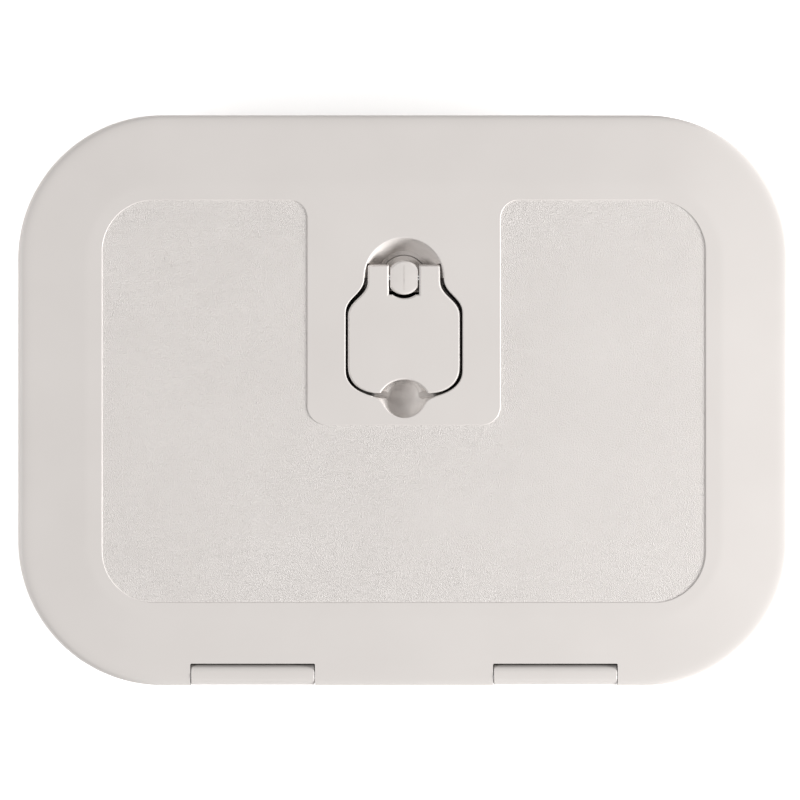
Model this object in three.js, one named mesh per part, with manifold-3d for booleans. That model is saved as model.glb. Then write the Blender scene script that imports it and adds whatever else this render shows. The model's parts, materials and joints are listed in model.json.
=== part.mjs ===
// Flush deck hatch: a frame that is screwed into a boat's deck, a hinged lid that covers the frame,
// and a lift-and-turn latch whose handle folds flat into the lid. Millimetres, +Z up, hinge on the -Y side.
import * as THREE from "three";
import { mergeVertices } from "three/addons/utils/BufferGeometryUtils.js";
import Module from "manifold-3d";

const wasm = await Module();
wasm.setup();

// ---- driving dimensions ---------------------------------------------------------------------------
const LID_LENGTH = 375; // along the hinge
const LID_WIDTH = 277;
const CORNER_R = 70;
const GAP = 0.3; // between pieces that touch
const CUT = 5; // how far a cutting tool runs past what it cuts

const DECK_Z = 30; // the deck's surface, where the flange sits
const FLANGE_TOP = 33.5;
const FLANGE_INSET = 0.6; // the lid overhangs the flange by this much
const COAMING_OUTER = 31; // insets from the lid's outline
const COAMING_INNER = 34;
const COAMING_TOP = 38.7; // the edge that the gasket seals on

const LID_TOP = 48;
const LID_BOTTOM = 35.2;
const LID_WALL = 3.2;
const LID_UNDERSIDE = LID_TOP - LID_WALL;
const EDGE_ROUND = 2.4;
const EDGE_CHAMFER = 1;
const PANEL_DEPTH = 0.6; // the non-slip panel lies this far below the rim

const AXIS_Y = -LID_WIDTH / 2 + 5.2; // hinge axis
const AXIS_Z = 42.3;
const KNUCKLE_R = 5;
const KNUCKLE_LENGTH = 59.5;
const KNUCKLE_X = 73.5; // centre of each knuckle
const PIN_R = 2;

const SPINDLE_Y = 59.5; // latch spindle's axis, on the centre line
const BOWL_R = 19.3;
const BOWL_FLOOR = 37;
const HANDLE_FLOOR = 40.9;
const HANDLE_BOTTOM = 41.2;
const HANDLE_TOP = 47.7;
const HANDLE_AXIS_Z = 44.3;
const DISC_R = 11;
const SHAFT_R = 4;
const TONGUE_Z = 20.2;
const TONGUE_THICK = 3;
const TONGUE_REACH = 42;

const KEEPER_Y = LID_WIDTH / 2 - COAMING_INNER - GAP; // back of the keeper, next to the coaming's inner wall
const KEEPER_HALF = 16;

// ---- colours --------------------------------------------------------------------------------------
const plastic = { color: 0xe6e0da, roughness: 0.45, metalness: 0 };
const rubber = { color: 0x2b2b2b, roughness: 0.85, metalness: 0 };
const steel = { color: 0xb9bcc0, roughness: 0.3, metalness: 1 };
const acetal = { color: 0xf2f2ee, roughness: 0.4, metalness: 0 };

// ---- helpers --------------------------------------------------------------------------------------
function solid(geometry) {
  const bare = geometry.index ? geometry.toNonIndexed() : geometry.clone();
  bare.deleteAttribute("normal");
  bare.deleteAttribute("uv");
  const merged = mergeVertices(bare, 1e-4);
  return new wasm.Manifold(
    new wasm.Mesh({
      numProp: 3,
      vertProperties: merged.attributes.position.array,
      triVerts: new Uint32Array(merged.index.array),
    }),
  );
}

function join(...solids) {
  return solids.reduce((whole, piece) => whole.add(piece));
}

function cutFrom(whole, ...tools) {
  return tools.reduce((rest, tool) => rest.subtract(tool), whole);
}

// A flat outline raised from z0 to z1.
function extrude(shape, z0, z1, curveSegments = 8) {
  const geometry = new THREE.ExtrudeGeometry(shape, { depth: z1 - z0, bevelEnabled: false, curveSegments });
  return solid(geometry.translate(0, 0, z0));
}

// The same, with both ends rounded (or chamfered, with one segment) inwards.
function extrudeRounded(shape, z0, z1, round, bevelSegments, curveSegments = 8) {
  const geometry = new THREE.ExtrudeGeometry(shape, {
    depth: z1 - z0 - 2 * round,
    bevelThickness: round,
    bevelSize: round,
    bevelOffset: -round,
    bevelSegments,
    curveSegments,
  });
  return solid(geometry.translate(0, 0, z0 + round));
}

function box(x0, x1, y0, y1, z0, z1) {
  const geometry = new THREE.BoxGeometry(x1 - x0, y1 - y0, z1 - z0);
  return solid(geometry.translate((x0 + x1) / 2, (y0 + y1) / 2, (z0 + z1) / 2));
}

// A turned piece about a vertical line: [radius, z] points that start and end on the axis.
function turned(x, y, profile, sides = 32) {
  const points = profile.map(([radius, z]) => new THREE.Vector2(radius, z));
  const geometry = new THREE.LatheGeometry(points, sides);
  return solid(geometry.rotateX(Math.PI / 2).translate(x, y, 0));
}

function upright(x, y, radius, z0, z1, sides = 32) {
  return turned(x, y, [[0, z0], [radius, z0], [radius, z1], [0, z1]], sides);
}

function alongX(y, z, radius, x0, x1, sides = 32) {
  const geometry = new THREE.CylinderGeometry(radius, radius, x1 - x0, sides);
  return solid(geometry.rotateZ(Math.PI / 2).translate((x0 + x1) / 2, y, z));
}

function alongY(x, z, radius, y0, y1, sides = 24) {
  const geometry = new THREE.CylinderGeometry(radius, radius, y1 - y0, sides);
  return solid(geometry.translate(x, (y0 + y1) / 2, z));
}

function roundedRectangle(width, height, radius) {
  const x = width / 2 - radius;
  const y = height / 2 - radius;
  const shape = new THREE.Shape();
  shape.absarc(x, -y, radius, -Math.PI / 2, 0);
  shape.absarc(x, y, radius, 0, Math.PI / 2);
  shape.absarc(-x, y, radius, Math.PI / 2, Math.PI);
  shape.absarc(-x, -y, radius, Math.PI, 1.5 * Math.PI);
  return shape;
}

// The lid's outline, moved inwards.
function outline(inset) {
  return roundedRectangle(LID_LENGTH - 2 * inset, LID_WIDTH - 2 * inset, CORNER_R - inset);
}

function ring(outerInset, innerInset, z0, z1) {
  return cutFrom(extrude(outline(outerInset), z0, z1), extrude(outline(innerInset), z0 - CUT, z1 + CUT));
}

const group = new THREE.Group();

function piece(name, shape, finish) {
  const made = shape.getMesh();
  const geometry = new THREE.BufferGeometry();
  geometry.setAttribute("position", new THREE.BufferAttribute(made.vertProperties, 3));
  geometry.setIndex(new THREE.BufferAttribute(made.triVerts, 1));
  geometry.computeVertexNormals();
  const mesh = new THREE.Mesh(geometry, new THREE.MeshStandardMaterial(finish));
  mesh.name = name;
  group.add(mesh);
}

// ---- frame: flange on the deck, coaming through it, one moulding -------------------------------------
const SCREW_INSET = 15.5; // line of the fixing holes
const SCREW_PITCH = 76;
const FIXING_R = 2.6;
const FIXING_HEAD_R = 5;
const KNUCKLE_SCREW_R = 1.7;
const KNUCKLE_SCREW_HEAD_R = 3.6;
const KNUCKLE_SCREW_STEP = 18; // each side of the knuckle's middle
const KEEPER_SCREW_X = 10;
const KEEPER_SCREW_Z = 14;
const KEEPER_SCREW_R = 1.9;

const longSideX = [-1.5, -0.5, 0.5, 1.5].map((step) => step * SCREW_PITCH);
const shortSideY = [-0.5, 0.5].map((step) => step * SCREW_PITCH);
const fixingPlaces = [
  ...longSideX.flatMap((x) => [-1, 1].map((side) => [x, side * (LID_WIDTH / 2 - SCREW_INSET)])),
  ...shortSideY.flatMap((y) => [-1, 1].map((side) => [side * (LID_LENGTH / 2 - SCREW_INSET), y])),
];
const knuckleScrews = [
  ["knuckle_screw_left_outer", -KNUCKLE_X - KNUCKLE_SCREW_STEP],
  ["knuckle_screw_left_inner", -KNUCKLE_X + KNUCKLE_SCREW_STEP],
  ["knuckle_screw_right_inner", KNUCKLE_X - KNUCKLE_SCREW_STEP],
  ["knuckle_screw_right_outer", KNUCKLE_X + KNUCKLE_SCREW_STEP],
];
const keeperScrews = [
  ["keeper_screw_left", -KEEPER_SCREW_X],
  ["keeper_screw_right", KEEPER_SCREW_X],
];

// A countersunk screw's outline, head down, or with a clearance the hole that takes it.
function countersunk(headR, shankR, headZ, tipZ, clearance) {
  const head = headR + clearance;
  const shank = shankR + clearance;
  return [[0, headZ], [head, headZ], [shank, headZ + headR - shankR], [shank, tipZ], [0, tipZ]];
}

function makeFrame() {
  const fixings = fixingPlaces.map(([x, y]) => {
    const countersink = FLANGE_TOP - (FIXING_HEAD_R - FIXING_R);
    const profile = [
      [0, DECK_Z - CUT], [FIXING_R, DECK_Z - CUT], [FIXING_R, countersink],
      [FIXING_HEAD_R, FLANGE_TOP], [FIXING_HEAD_R, FLANGE_TOP + CUT], [0, FLANGE_TOP + CUT],
    ];
    return turned(x, y, profile, 16);
  });
  const knuckleHoles = knuckleScrews.flatMap(([, x]) => [
    turned(x, AXIS_Y, countersunk(KNUCKLE_SCREW_HEAD_R, KNUCKLE_SCREW_R, DECK_Z, FLANGE_TOP + CUT, GAP), 20),
    upright(x, AXIS_Y, KNUCKLE_SCREW_HEAD_R + GAP, DECK_Z - CUT, DECK_Z, 20),
  ]);
  const keeperHoles = keeperScrews.map(([, x]) =>
    alongY(x, KEEPER_SCREW_Z, KEEPER_SCREW_R + GAP, KEEPER_Y, KEEPER_Y + 2 * CUT),
  );
  return cutFrom(
    join(
      ring(FLANGE_INSET, COAMING_OUTER + 1, DECK_Z, FLANGE_TOP),
      ring(COAMING_OUTER, COAMING_INNER, 0, COAMING_TOP),
    ),
    ...fixings,
    ...knuckleHoles,
    ...keeperHoles,
  );
}

piece("frame", makeFrame(), plastic);

// ---- hinge: two knuckles screwed to the flange, each with a steel pin held in the lid -----------------
const STEM_HALF = 4.6; // half the knuckle's foot, across the hinge
const EAR_LENGTH = 6.75; // the lid's solid ends beside each knuckle
const SIDE_GAP = 0.5;
const NOTCH_HALF = KNUCKLE_LENGTH / 2 + SIDE_GAP;
const CLIP_THICK = 1.2;
const CLIP_R = 3.2;
const PIN_END = 3; // how far the pin stands out of the inner ear, for its clip
const PIN_COVER = 2; // how much of the outer ear closes over the pin's other end
const GROOVE_R = 1.4;
const PILOT_END = AXIS_Z - 3.6; // the screw holes in the knuckle stop short of the pin
const KNUCKLE_SCREW_TIP = PILOT_END - 0.4;

function knuckleProfile() {
  const shape = new THREE.Shape();
  shape.moveTo(-STEM_HALF, FLANGE_TOP + GAP - AXIS_Z);
  shape.lineTo(STEM_HALF, FLANGE_TOP + GAP - AXIS_Z);
  shape.lineTo(STEM_HALF, -Math.sqrt(KNUCKLE_R ** 2 - STEM_HALF ** 2));
  const side = Math.acos(STEM_HALF / KNUCKLE_R);
  shape.absarc(0, 0, KNUCKLE_R, -side, Math.PI + side);
  return shape;
}

for (const [side, sign] of [["left", -1], ["right", 1]]) {
  const middle = sign * KNUCKLE_X;
  const geometry = new THREE.ExtrudeGeometry(knuckleProfile(), {
    depth: KNUCKLE_LENGTH,
    bevelEnabled: false,
    curveSegments: 16,
  });
  geometry.rotateX(Math.PI / 2).rotateZ(Math.PI / 2);
  geometry.translate(middle - KNUCKLE_LENGTH / 2, AXIS_Y, AXIS_Z);
  const bore = alongX(AXIS_Y, AXIS_Z, PIN_R + GAP, middle - KNUCKLE_LENGTH, middle + KNUCKLE_LENGTH, 24);
  const pilots = [-1, 1].map((step) =>
    upright(middle + step * KNUCKLE_SCREW_STEP, AXIS_Y, KNUCKLE_SCREW_R + GAP, DECK_Z, PILOT_END, 20),
  );
  piece(`hinge_knuckle_${side}`, cutFrom(solid(geometry), bore, ...pilots), plastic);

  const innerEar = middle - sign * (NOTCH_HALF + EAR_LENGTH);
  const pinInner = innerEar - sign * PIN_END;
  const pinOuter = middle + sign * (NOTCH_HALF + EAR_LENGTH - PIN_COVER);
  const clipMiddle = innerEar - sign * (GAP + CLIP_THICK / 2);
  const grooveHalf = CLIP_THICK / 2 + GAP;
  const pin = alongX(AXIS_Y, AXIS_Z, PIN_R, Math.min(pinInner, pinOuter), Math.max(pinInner, pinOuter), 24);
  const groove = cutFrom(
    alongX(AXIS_Y, AXIS_Z, PIN_R + CUT, clipMiddle - grooveHalf, clipMiddle + grooveHalf, 24),
    alongX(AXIS_Y, AXIS_Z, GROOVE_R, clipMiddle - CUT, clipMiddle + CUT, 24),
  );
  piece(`hinge_pin_${side}`, cutFrom(pin, groove), steel);

  const clip = cutFrom(
    alongX(AXIS_Y, AXIS_Z, CLIP_R, clipMiddle - CLIP_THICK / 2, clipMiddle + CLIP_THICK / 2, 24),
    alongX(AXIS_Y, AXIS_Z, GROOVE_R + GAP, clipMiddle - CUT, clipMiddle + CUT, 24),
    box(clipMiddle - CUT, clipMiddle + CUT, AXIS_Y - GROOVE_R, AXIS_Y + GROOVE_R, AXIS_Z - CUT, AXIS_Z),
  );
  piece(`pin_clip_${side}`, clip, steel);
}

for (const [name, x] of knuckleScrews) {
  const profile = countersunk(KNUCKLE_SCREW_HEAD_R, KNUCKLE_SCREW_R, DECK_Z + GAP, KNUCKLE_SCREW_TIP, 0);
  piece(name, turned(x, AXIS_Y, profile, 20), steel);
}

// ---- latch handle and the recess it folds into --------------------------------------------------------
const LEG_HALF = 17.6; // outer faces of the handle's fork
const LEG_END = 6.4; // past the handle's axis
const SLOT_HALF = 7.4;
const SLOT_SHOULDER = 8.2; // below the handle's axis
const SLOT_ARC_R = 10;
const HANDLE_HALF = 27.2;
const HANDLE_NECK_Y = 41; // where the sides start to draw in towards the fork
const HANDLE_FOOT_Y = 16; // where they start to draw in towards the scoop
const LEG_CORNER = 1.4;
const SLOT_ARC_HALF = 5.6;
const SCOOP_R = 13.2; // hollow in the handle's end
const SCOOP_Y = -3.2;
const SCOOP_HALF = 11.4;
const HANDLE_EDGE = 0.8;
const DIMPLE_R = 10.7; // finger dimple, at the lid's surface
const DIMPLE_Y = 2.3;
const DIMPLE_DEPTH = 8;
const RECESS_HALF = 28.4;
const TROUGH_R = 7.3; // what the fork's ends sweep when the handle lifts
const TROUGH_HALF = 18.3;

// The handle seen from above, as a closed outline that is the same on both sides of the centre line.
// Its sides are Bezier curves, whose middle control points set how quickly they draw in.
function handleOutline() {
  const slotArc = Math.asin(SLOT_ARC_HALF / SLOT_ARC_R);
  const scoopArc = Math.asin(SCOOP_HALF / SCOOP_R);
  const shoulder = SPINDLE_Y - SLOT_SHOULDER;
  const end = SPINDLE_Y + LEG_END;
  const shape = new THREE.Shape();
  shape.moveTo(14, 3.5);
  shape.bezierCurveTo(19, 4, HANDLE_HALF, 7, HANDLE_HALF, HANDLE_FOOT_Y);
  shape.lineTo(HANDLE_HALF, HANDLE_NECK_Y);
  shape.bezierCurveTo(HANDLE_HALF, 48.5, LEG_HALF, 50.5, LEG_HALF, 57.5);
  shape.lineTo(LEG_HALF, end - LEG_CORNER);
  shape.lineTo(LEG_HALF - LEG_CORNER, end);
  shape.lineTo(SLOT_HALF, end);
  shape.lineTo(SLOT_HALF, shoulder);
  shape.absarc(0, SPINDLE_Y, SLOT_ARC_R, -Math.PI / 2 + slotArc, -Math.PI / 2 - slotArc, true);
  shape.lineTo(-SLOT_HALF, shoulder);
  shape.lineTo(-SLOT_HALF, end);
  shape.lineTo(-LEG_HALF + LEG_CORNER, end);
  shape.lineTo(-LEG_HALF, end - LEG_CORNER);
  shape.lineTo(-LEG_HALF, 57.5);
  shape.bezierCurveTo(-LEG_HALF, 50.5, -HANDLE_HALF, 48.5, -HANDLE_HALF, HANDLE_NECK_Y);
  shape.lineTo(-HANDLE_HALF, HANDLE_FOOT_Y);
  shape.bezierCurveTo(-HANDLE_HALF, 7, -19, 4, -14, 3.5);
  shape.absarc(0, SCOOP_Y, SCOOP_R, Math.PI / 2 + scoopArc, Math.PI / 2 - scoopArc, true);
  return shape;
}

// The recess seen from above; grow widens it for the pan's wall.
function recessOutline(grow) {
  const half = RECESS_HALF + grow;
  const leg = BOWL_R + grow;
  const shape = new THREE.Shape();
  shape.moveTo(10, 0.5 - grow);
  shape.bezierCurveTo(19, 2.4 - grow, half, 6 - grow, half, 14.5);
  shape.lineTo(half, 42.3);
  shape.bezierCurveTo(half, 50, leg, 51.5, leg, SPINDLE_Y);
  shape.lineTo(-leg, SPINDLE_Y);
  shape.bezierCurveTo(-leg, 51.5, -half, 50, -half, 42.3);
  shape.lineTo(-half, 14.5);
  shape.bezierCurveTo(-half, 6 - grow, -19, 2.4 - grow, -10, 0.5 - grow);
  return shape;
}

// A ball of which the part below LID_TOP is a cap: mouth radius at LID_TOP, and depth below it.
function ballCut(y, mouth, depth) {
  const radius = (mouth ** 2 + depth ** 2) / (2 * depth);
  const geometry = new THREE.SphereGeometry(radius, 32, 20);
  return solid(geometry.rotateX(Math.PI / 2).translate(0, y, LID_TOP - depth + radius));
}

const HANDLE_PIN_R = 1.6;
const LUG_R = 8.15; // the latch head's lug, between the fork's legs
const LUG_HALF = 6.7;

function makeHandle() {
  const handle = extrudeRounded(handleOutline(), HANDLE_BOTTOM, HANDLE_TOP, HANDLE_EDGE, 2, 6);
  const end = SPINDLE_Y + LEG_END;
  const bevel = new THREE.BoxGeometry(3 * LEG_HALF, 4, 4).rotateX(Math.PI / 4);
  const bevels = [HANDLE_BOTTOM, HANDLE_TOP].map((z) => solid(bevel.clone().translate(0, end + 1.2, z)));
  const pinHole = alongX(SPINDLE_Y, HANDLE_AXIS_Z, HANDLE_PIN_R + GAP, -2 * LEG_HALF, 2 * LEG_HALF, 24);
  return cutFrom(handle, ...bevels, pinHole);
}

piece("handle", makeHandle(), plastic);
piece("handle_pin", alongX(SPINDLE_Y, HANDLE_AXIS_Z, HANDLE_PIN_R, -LEG_HALF + 0.5, LEG_HALF - 0.5, 24), steel);

// ---- lid: shell, gasket channel, ribs, latch pan and hinge notches ------------------------------------
const PAN_WALL = 3;
const SEAT_R = 14; // boss under the bowl that holds the spindle's bush
const SEAT_BOTTOM = 27.8;
const SEAT_BORE_R = 7;
const DISC_SEAT = 34.8;
const RIB_BOTTOM = 40.5;
const RIB_THICK = 2;
const CHANNEL_OUTER = 26.9;
const CHANNEL_INNER = 36.5;
const CHANNEL_WALL = 1.6;
const EAR_BOTTOM = 37;
const NOTCH_DEPTH = KNUCKLE_R + 0.4; // inboard of the axis
const RIB_Y = [-70, -35, 10, 45];
const RIB_X = [-100, -50, 50, 100];
const PANEL_HALF = 146.5;
const PANEL_TOP = 97.2;
const PANEL_BOTTOM = -98.2;
const PANEL_R = 25;
const PANEL_NOTCH_HALF = 46.8; // the smooth field round the latch
const PANEL_NOTCH_BOTTOM = -12;
const PANEL_NOTCH_R = 9;

// The non-slip panel: a rounded rectangle with a rounded bay for the latch in its upper side.
function panelOutline() {
  const arm = PANEL_NOTCH_HALF;
  const r = PANEL_NOTCH_R;
  const shape = new THREE.Shape();
  shape.absarc(PANEL_HALF - PANEL_R, PANEL_BOTTOM + PANEL_R, PANEL_R, -Math.PI / 2, 0);
  shape.absarc(PANEL_HALF - PANEL_R, PANEL_TOP - PANEL_R, PANEL_R, 0, Math.PI / 2);
  shape.absarc(arm + r, PANEL_TOP - r, r, Math.PI / 2, Math.PI);
  shape.absarc(arm - r, PANEL_NOTCH_BOTTOM + r, r, 0, -Math.PI / 2, true);
  shape.absarc(-arm + r, PANEL_NOTCH_BOTTOM + r, r, -Math.PI / 2, -Math.PI, true);
  shape.absarc(-arm - r, PANEL_TOP - r, r, 0, Math.PI / 2);
  shape.absarc(-PANEL_HALF + PANEL_R, PANEL_TOP - PANEL_R, PANEL_R, Math.PI / 2, Math.PI);
  shape.absarc(-PANEL_HALF + PANEL_R, PANEL_BOTTOM + PANEL_R, PANEL_R, Math.PI, 1.5 * Math.PI);
  return shape;
}

function makeLidShell() {
  const roundedTop = extrudeRounded(outline(0), LID_BOTTOM - CUT, LID_TOP, EDGE_ROUND, 4);
  const chamferedFoot = extrudeRounded(outline(0), LID_BOTTOM, LID_TOP + CUT, EDGE_CHAMFER, 1);
  const block = roundedTop.intersect(chamferedFoot);
  return cutFrom(block, extrude(outline(LID_WALL), LID_BOTTOM - CUT, LID_UNDERSIDE));
}

function makeRibs() {
  const inner = extrude(outline(CHANNEL_INNER), RIB_BOTTOM, LID_UNDERSIDE + 1);
  const halfThick = RIB_THICK / 2;
  const lengthways = RIB_Y.map((y) =>
    box(-LID_LENGTH / 2, LID_LENGTH / 2, y - halfThick, y + halfThick, RIB_BOTTOM, LID_UNDERSIDE + 1),
  );
  const crossways = RIB_X.map((x) =>
    box(x - halfThick, x + halfThick, -LID_WIDTH / 2, LID_WIDTH / 2, RIB_BOTTOM, LID_UNDERSIDE + 1),
  );
  return join(...lengthways, ...crossways).intersect(inner);
}

function makePan() {
  const top = LID_UNDERSIDE + 1;
  return join(
    extrude(recessOutline(PAN_WALL), HANDLE_FLOOR - PAN_WALL, top),
    upright(0, SPINDLE_Y, BOWL_R + PAN_WALL, BOWL_FLOOR - LID_WALL, top, 32),
    upright(0, DIMPLE_Y, DIMPLE_R + PAN_WALL, LID_TOP - DIMPLE_DEPTH - PAN_WALL, top, 32),
    upright(0, SPINDLE_Y, SEAT_R, SEAT_BOTTOM, top, 32),
  );
}

function recessCuts() {
  const above = LID_TOP + CUT;
  const bowl = ballCut(SPINDLE_Y, BOWL_R, LID_TOP - BOWL_FLOOR + 3.5);
  const bowlDepth = extrude(outline(0), BOWL_FLOOR, above + 2 * BOWL_R);
  const legEnd = SPINDLE_Y + TROUGH_R;
  return [
    extrude(recessOutline(0), HANDLE_FLOOR, above),
    bowl.intersect(bowlDepth),
    alongX(SPINDLE_Y, HANDLE_AXIS_Z, TROUGH_R, -TROUGH_HALF, TROUGH_HALF, 32),
    box(-TROUGH_HALF, TROUGH_HALF, SPINDLE_Y - TROUGH_R, legEnd, HANDLE_AXIS_Z, above),
    ballCut(DIMPLE_Y, DIMPLE_R, DIMPLE_DEPTH),
    upright(0, SPINDLE_Y, DISC_R + GAP, DISC_SEAT, above, 32),
    upright(0, SPINDLE_Y, SEAT_BORE_R, SEAT_BOTTOM - CUT, above, 32),
  ];
}

function makeLid() {
  const channel = join(
    ring(CHANNEL_OUTER, CHANNEL_OUTER + CHANNEL_WALL, RIB_BOTTOM, LID_UNDERSIDE + 1),
    ring(CHANNEL_INNER, CHANNEL_INNER + CHANNEL_WALL, RIB_BOTTOM, LID_UNDERSIDE + 1),
  );
  const earDepth = AXIS_Y + NOTCH_DEPTH + 2.5;
  const ears = [-1, 1].map((side) => {
    const half = NOTCH_HALF + EAR_LENGTH;
    const middle = side * KNUCKLE_X;
    return box(middle - half, middle + half, -LID_WIDTH / 2 + 2, earDepth, EAR_BOTTOM, LID_UNDERSIDE + 1);
  });
  const notches = [-1, 1].map((side) => {
    const middle = side * KNUCKLE_X;
    const depth = AXIS_Y + NOTCH_DEPTH;
    return box(middle - NOTCH_HALF, middle + NOTCH_HALF, -LID_WIDTH, depth, LID_BOTTOM - CUT, LID_TOP + CUT);
  });
  const pinHoles = [-1, 1].map((side) => {
    const inner = side * (KNUCKLE_X - NOTCH_HALF - EAR_LENGTH - 1);
    const outer = side * (KNUCKLE_X + NOTCH_HALF + EAR_LENGTH - PIN_COVER + GAP);
    return alongX(AXIS_Y, AXIS_Z, PIN_R + GAP, Math.min(inner, outer), Math.max(inner, outer), 24);
  });
  const clipPockets = [-1, 1].map((side) => {
    const ear = side * (KNUCKLE_X - NOTCH_HALF - EAR_LENGTH);
    const end = ear - side * (PIN_END + 2);
    return alongX(AXIS_Y, AXIS_Z, CLIP_R + 2 * GAP, Math.min(ear, end), Math.max(ear, end), 24);
  });
  const whole = join(makeLidShell(), channel, makeRibs(), makePan(), ...ears);
  const panel = extrude(panelOutline(), LID_TOP - PANEL_DEPTH, LID_TOP + CUT, 6);
  return cutFrom(whole, panel, ...recessCuts(), ...notches, ...pinHoles, ...clipPockets);
}

piece("lid", makeLid(), plastic);
piece(
  "lid_gasket",
  ring(CHANNEL_OUTER + CHANNEL_WALL + GAP, CHANNEL_INNER - GAP, COAMING_TOP + GAP, LID_UNDERSIDE - GAP),
  rubber,
);

// ---- latch spindle: head in the bowl, shaft down through the lid, tongue under the keeper --------------
const LUG_TOP = 47.4;
const DISC_BOTTOM = DISC_SEAT + GAP;
const DISC_TOP = BOWL_FLOOR + 0.1;
const SOCKET_TOP = 40.5;
const BUSH_FLANGE_R = 10;
const BUSH_FLANGE_THICK = 1.7;
const BUSH_TOP = 33.2;
const RING_MAJOR = 6.05;
const RING_MINOR = 0.6;
const COLLAR_R = 6.5;
const TONGUE_HUB_R = 10;
const TONGUE_TIP_R = 6.5;
const WASHER_R = 8.5;
const NUT_R = 7.5;
const SHAFT_END = TONGUE_Z - 8;
const SHAFT_CHAMFER = 0.8;

function makeLatchHead() {
  const lugRound = [
    [0, DISC_TOP - 0.5], [LUG_R, DISC_TOP - 0.5], [LUG_R, LUG_TOP - 1.2],
    [LUG_R - 0.8, LUG_TOP - 0.4], [LUG_R - 2.2, LUG_TOP], [0, LUG_TOP],
  ];
  const flats = box(-LUG_HALF, LUG_HALF, SPINDLE_Y - LUG_R, SPINDLE_Y + LUG_R, DISC_BOTTOM, LUG_TOP + 1);
  return cutFrom(
    join(
      turned(0, SPINDLE_Y, lugRound, 32).intersect(flats),
      upright(0, SPINDLE_Y, DISC_R, DISC_BOTTOM, DISC_TOP, 32),
    ),
    alongX(SPINDLE_Y, HANDLE_AXIS_Z, HANDLE_PIN_R + GAP, -2 * LUG_R, 2 * LUG_R, 24),
    upright(0, SPINDLE_Y, SHAFT_R + GAP, DISC_BOTTOM - CUT, SOCKET_TOP),
  );
}

function makeBush() {
  const flangeTop = SEAT_BOTTOM - GAP;
  const flangeBottom = flangeTop - BUSH_FLANGE_THICK;
  const profile = [
    [0, flangeBottom], [BUSH_FLANGE_R, flangeBottom], [BUSH_FLANGE_R, flangeTop],
    [SEAT_BORE_R - GAP, flangeTop], [SEAT_BORE_R - GAP, BUSH_TOP], [0, BUSH_TOP],
  ];
  return cutFrom(
    turned(0, SPINDLE_Y, profile),
    upright(0, SPINDLE_Y, SHAFT_R + GAP, flangeBottom - CUT, BUSH_TOP + CUT),
  );
}

function makeORing() {
  const geometry = new THREE.TorusGeometry(RING_MAJOR, RING_MINOR, 10, 32);
  return solid(geometry.translate(0, SPINDLE_Y, (BUSH_TOP + DISC_BOTTOM) / 2));
}

function makeShaft() {
  const collarTop = SEAT_BOTTOM - BUSH_FLANGE_THICK - 2 * GAP;
  const collarBottom = TONGUE_Z + TONGUE_THICK + GAP;
  return turned(0, SPINDLE_Y, [
    [0, SHAFT_END], [SHAFT_R - SHAFT_CHAMFER, SHAFT_END], [SHAFT_R, SHAFT_END + SHAFT_CHAMFER],
    [SHAFT_R, collarBottom], [COLLAR_R, collarBottom],
    [COLLAR_R, collarTop], [SHAFT_R, collarTop], [SHAFT_R, SOCKET_TOP - GAP], [0, SOCKET_TOP - GAP],
  ]);
}

// The tongue at rest points along +X, clear of the keeper; a quarter turn brings it under.
function makeTongue() {
  const tipX = TONGUE_REACH - TONGUE_TIP_R;
  const tilt = Math.asin((TONGUE_HUB_R - TONGUE_TIP_R) / tipX);
  const shape = new THREE.Shape();
  shape.absarc(0, 0, TONGUE_HUB_R, Math.PI / 2 - tilt, 1.5 * Math.PI + tilt);
  shape.absarc(tipX, 0, TONGUE_TIP_R, -Math.PI / 2 + tilt, Math.PI / 2 - tilt);
  const plate = extrudeRounded(shape, TONGUE_Z, TONGUE_Z + TONGUE_THICK, 0.5, 1);
  return cutFrom(
    plate.translate([0, SPINDLE_Y, 0]),
    upright(0, SPINDLE_Y, SHAFT_R + GAP, TONGUE_Z - CUT, TONGUE_Z + 2 * CUT),
  );
}

function washer(outer, z0, z1, sides) {
  return cutFrom(
    upright(0, SPINDLE_Y, outer, z0, z1, sides),
    upright(0, SPINDLE_Y, SHAFT_R + GAP, z0 - CUT, z1 + CUT),
  );
}

const WASHER_TOP = TONGUE_Z - GAP;
const WASHER_BOTTOM = WASHER_TOP - 1.3;
const NUT_TOP = WASHER_BOTTOM - GAP;
const NUT_BOTTOM = NUT_TOP - 5;

piece("latch_head", makeLatchHead(), plastic);
piece("spindle_bush", makeBush(), acetal);
piece("spindle_o_ring", makeORing(), rubber);
piece("spindle_shaft", makeShaft(), steel);
piece("tongue", makeTongue(), steel);
piece("tongue_washer", washer(WASHER_R, WASHER_BOTTOM, WASHER_TOP, 32), steel);
piece("tongue_nut", washer(NUT_R, NUT_BOTTOM, NUT_TOP, 6), steel);

// ---- keeper: a steel angle on the coaming, with the ledge that the tongue pulls against ---------------
const KEEPER_THICK = 2;
const LEDGE_BOTTOM = TONGUE_Z + TONGUE_THICK + 0.7;
const LEDGE_DEPTH = 11;
const KEEPER_FOOT = 8;
const PAN_HEAD_R = 3.8;
const PAN_HEAD_THICK = 2;
const KEEPER_SCREW_END = 8; // behind the keeper's back

function makeKeeper() {
  const ledgeTop = LEDGE_BOTTOM + KEEPER_THICK;
  const front = KEEPER_Y - KEEPER_THICK;
  const holes = keeperScrews.map(([, x]) =>
    alongY(x, KEEPER_SCREW_Z, KEEPER_SCREW_R + GAP, front - CUT, KEEPER_Y + CUT),
  );
  return cutFrom(
    join(
      box(-KEEPER_HALF, KEEPER_HALF, front, KEEPER_Y, KEEPER_FOOT, ledgeTop),
      box(-KEEPER_HALF, KEEPER_HALF, KEEPER_Y - LEDGE_DEPTH, KEEPER_Y, LEDGE_BOTTOM, ledgeTop),
    ),
    ...holes,
  );
}

piece("keeper", makeKeeper(), steel);

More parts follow.
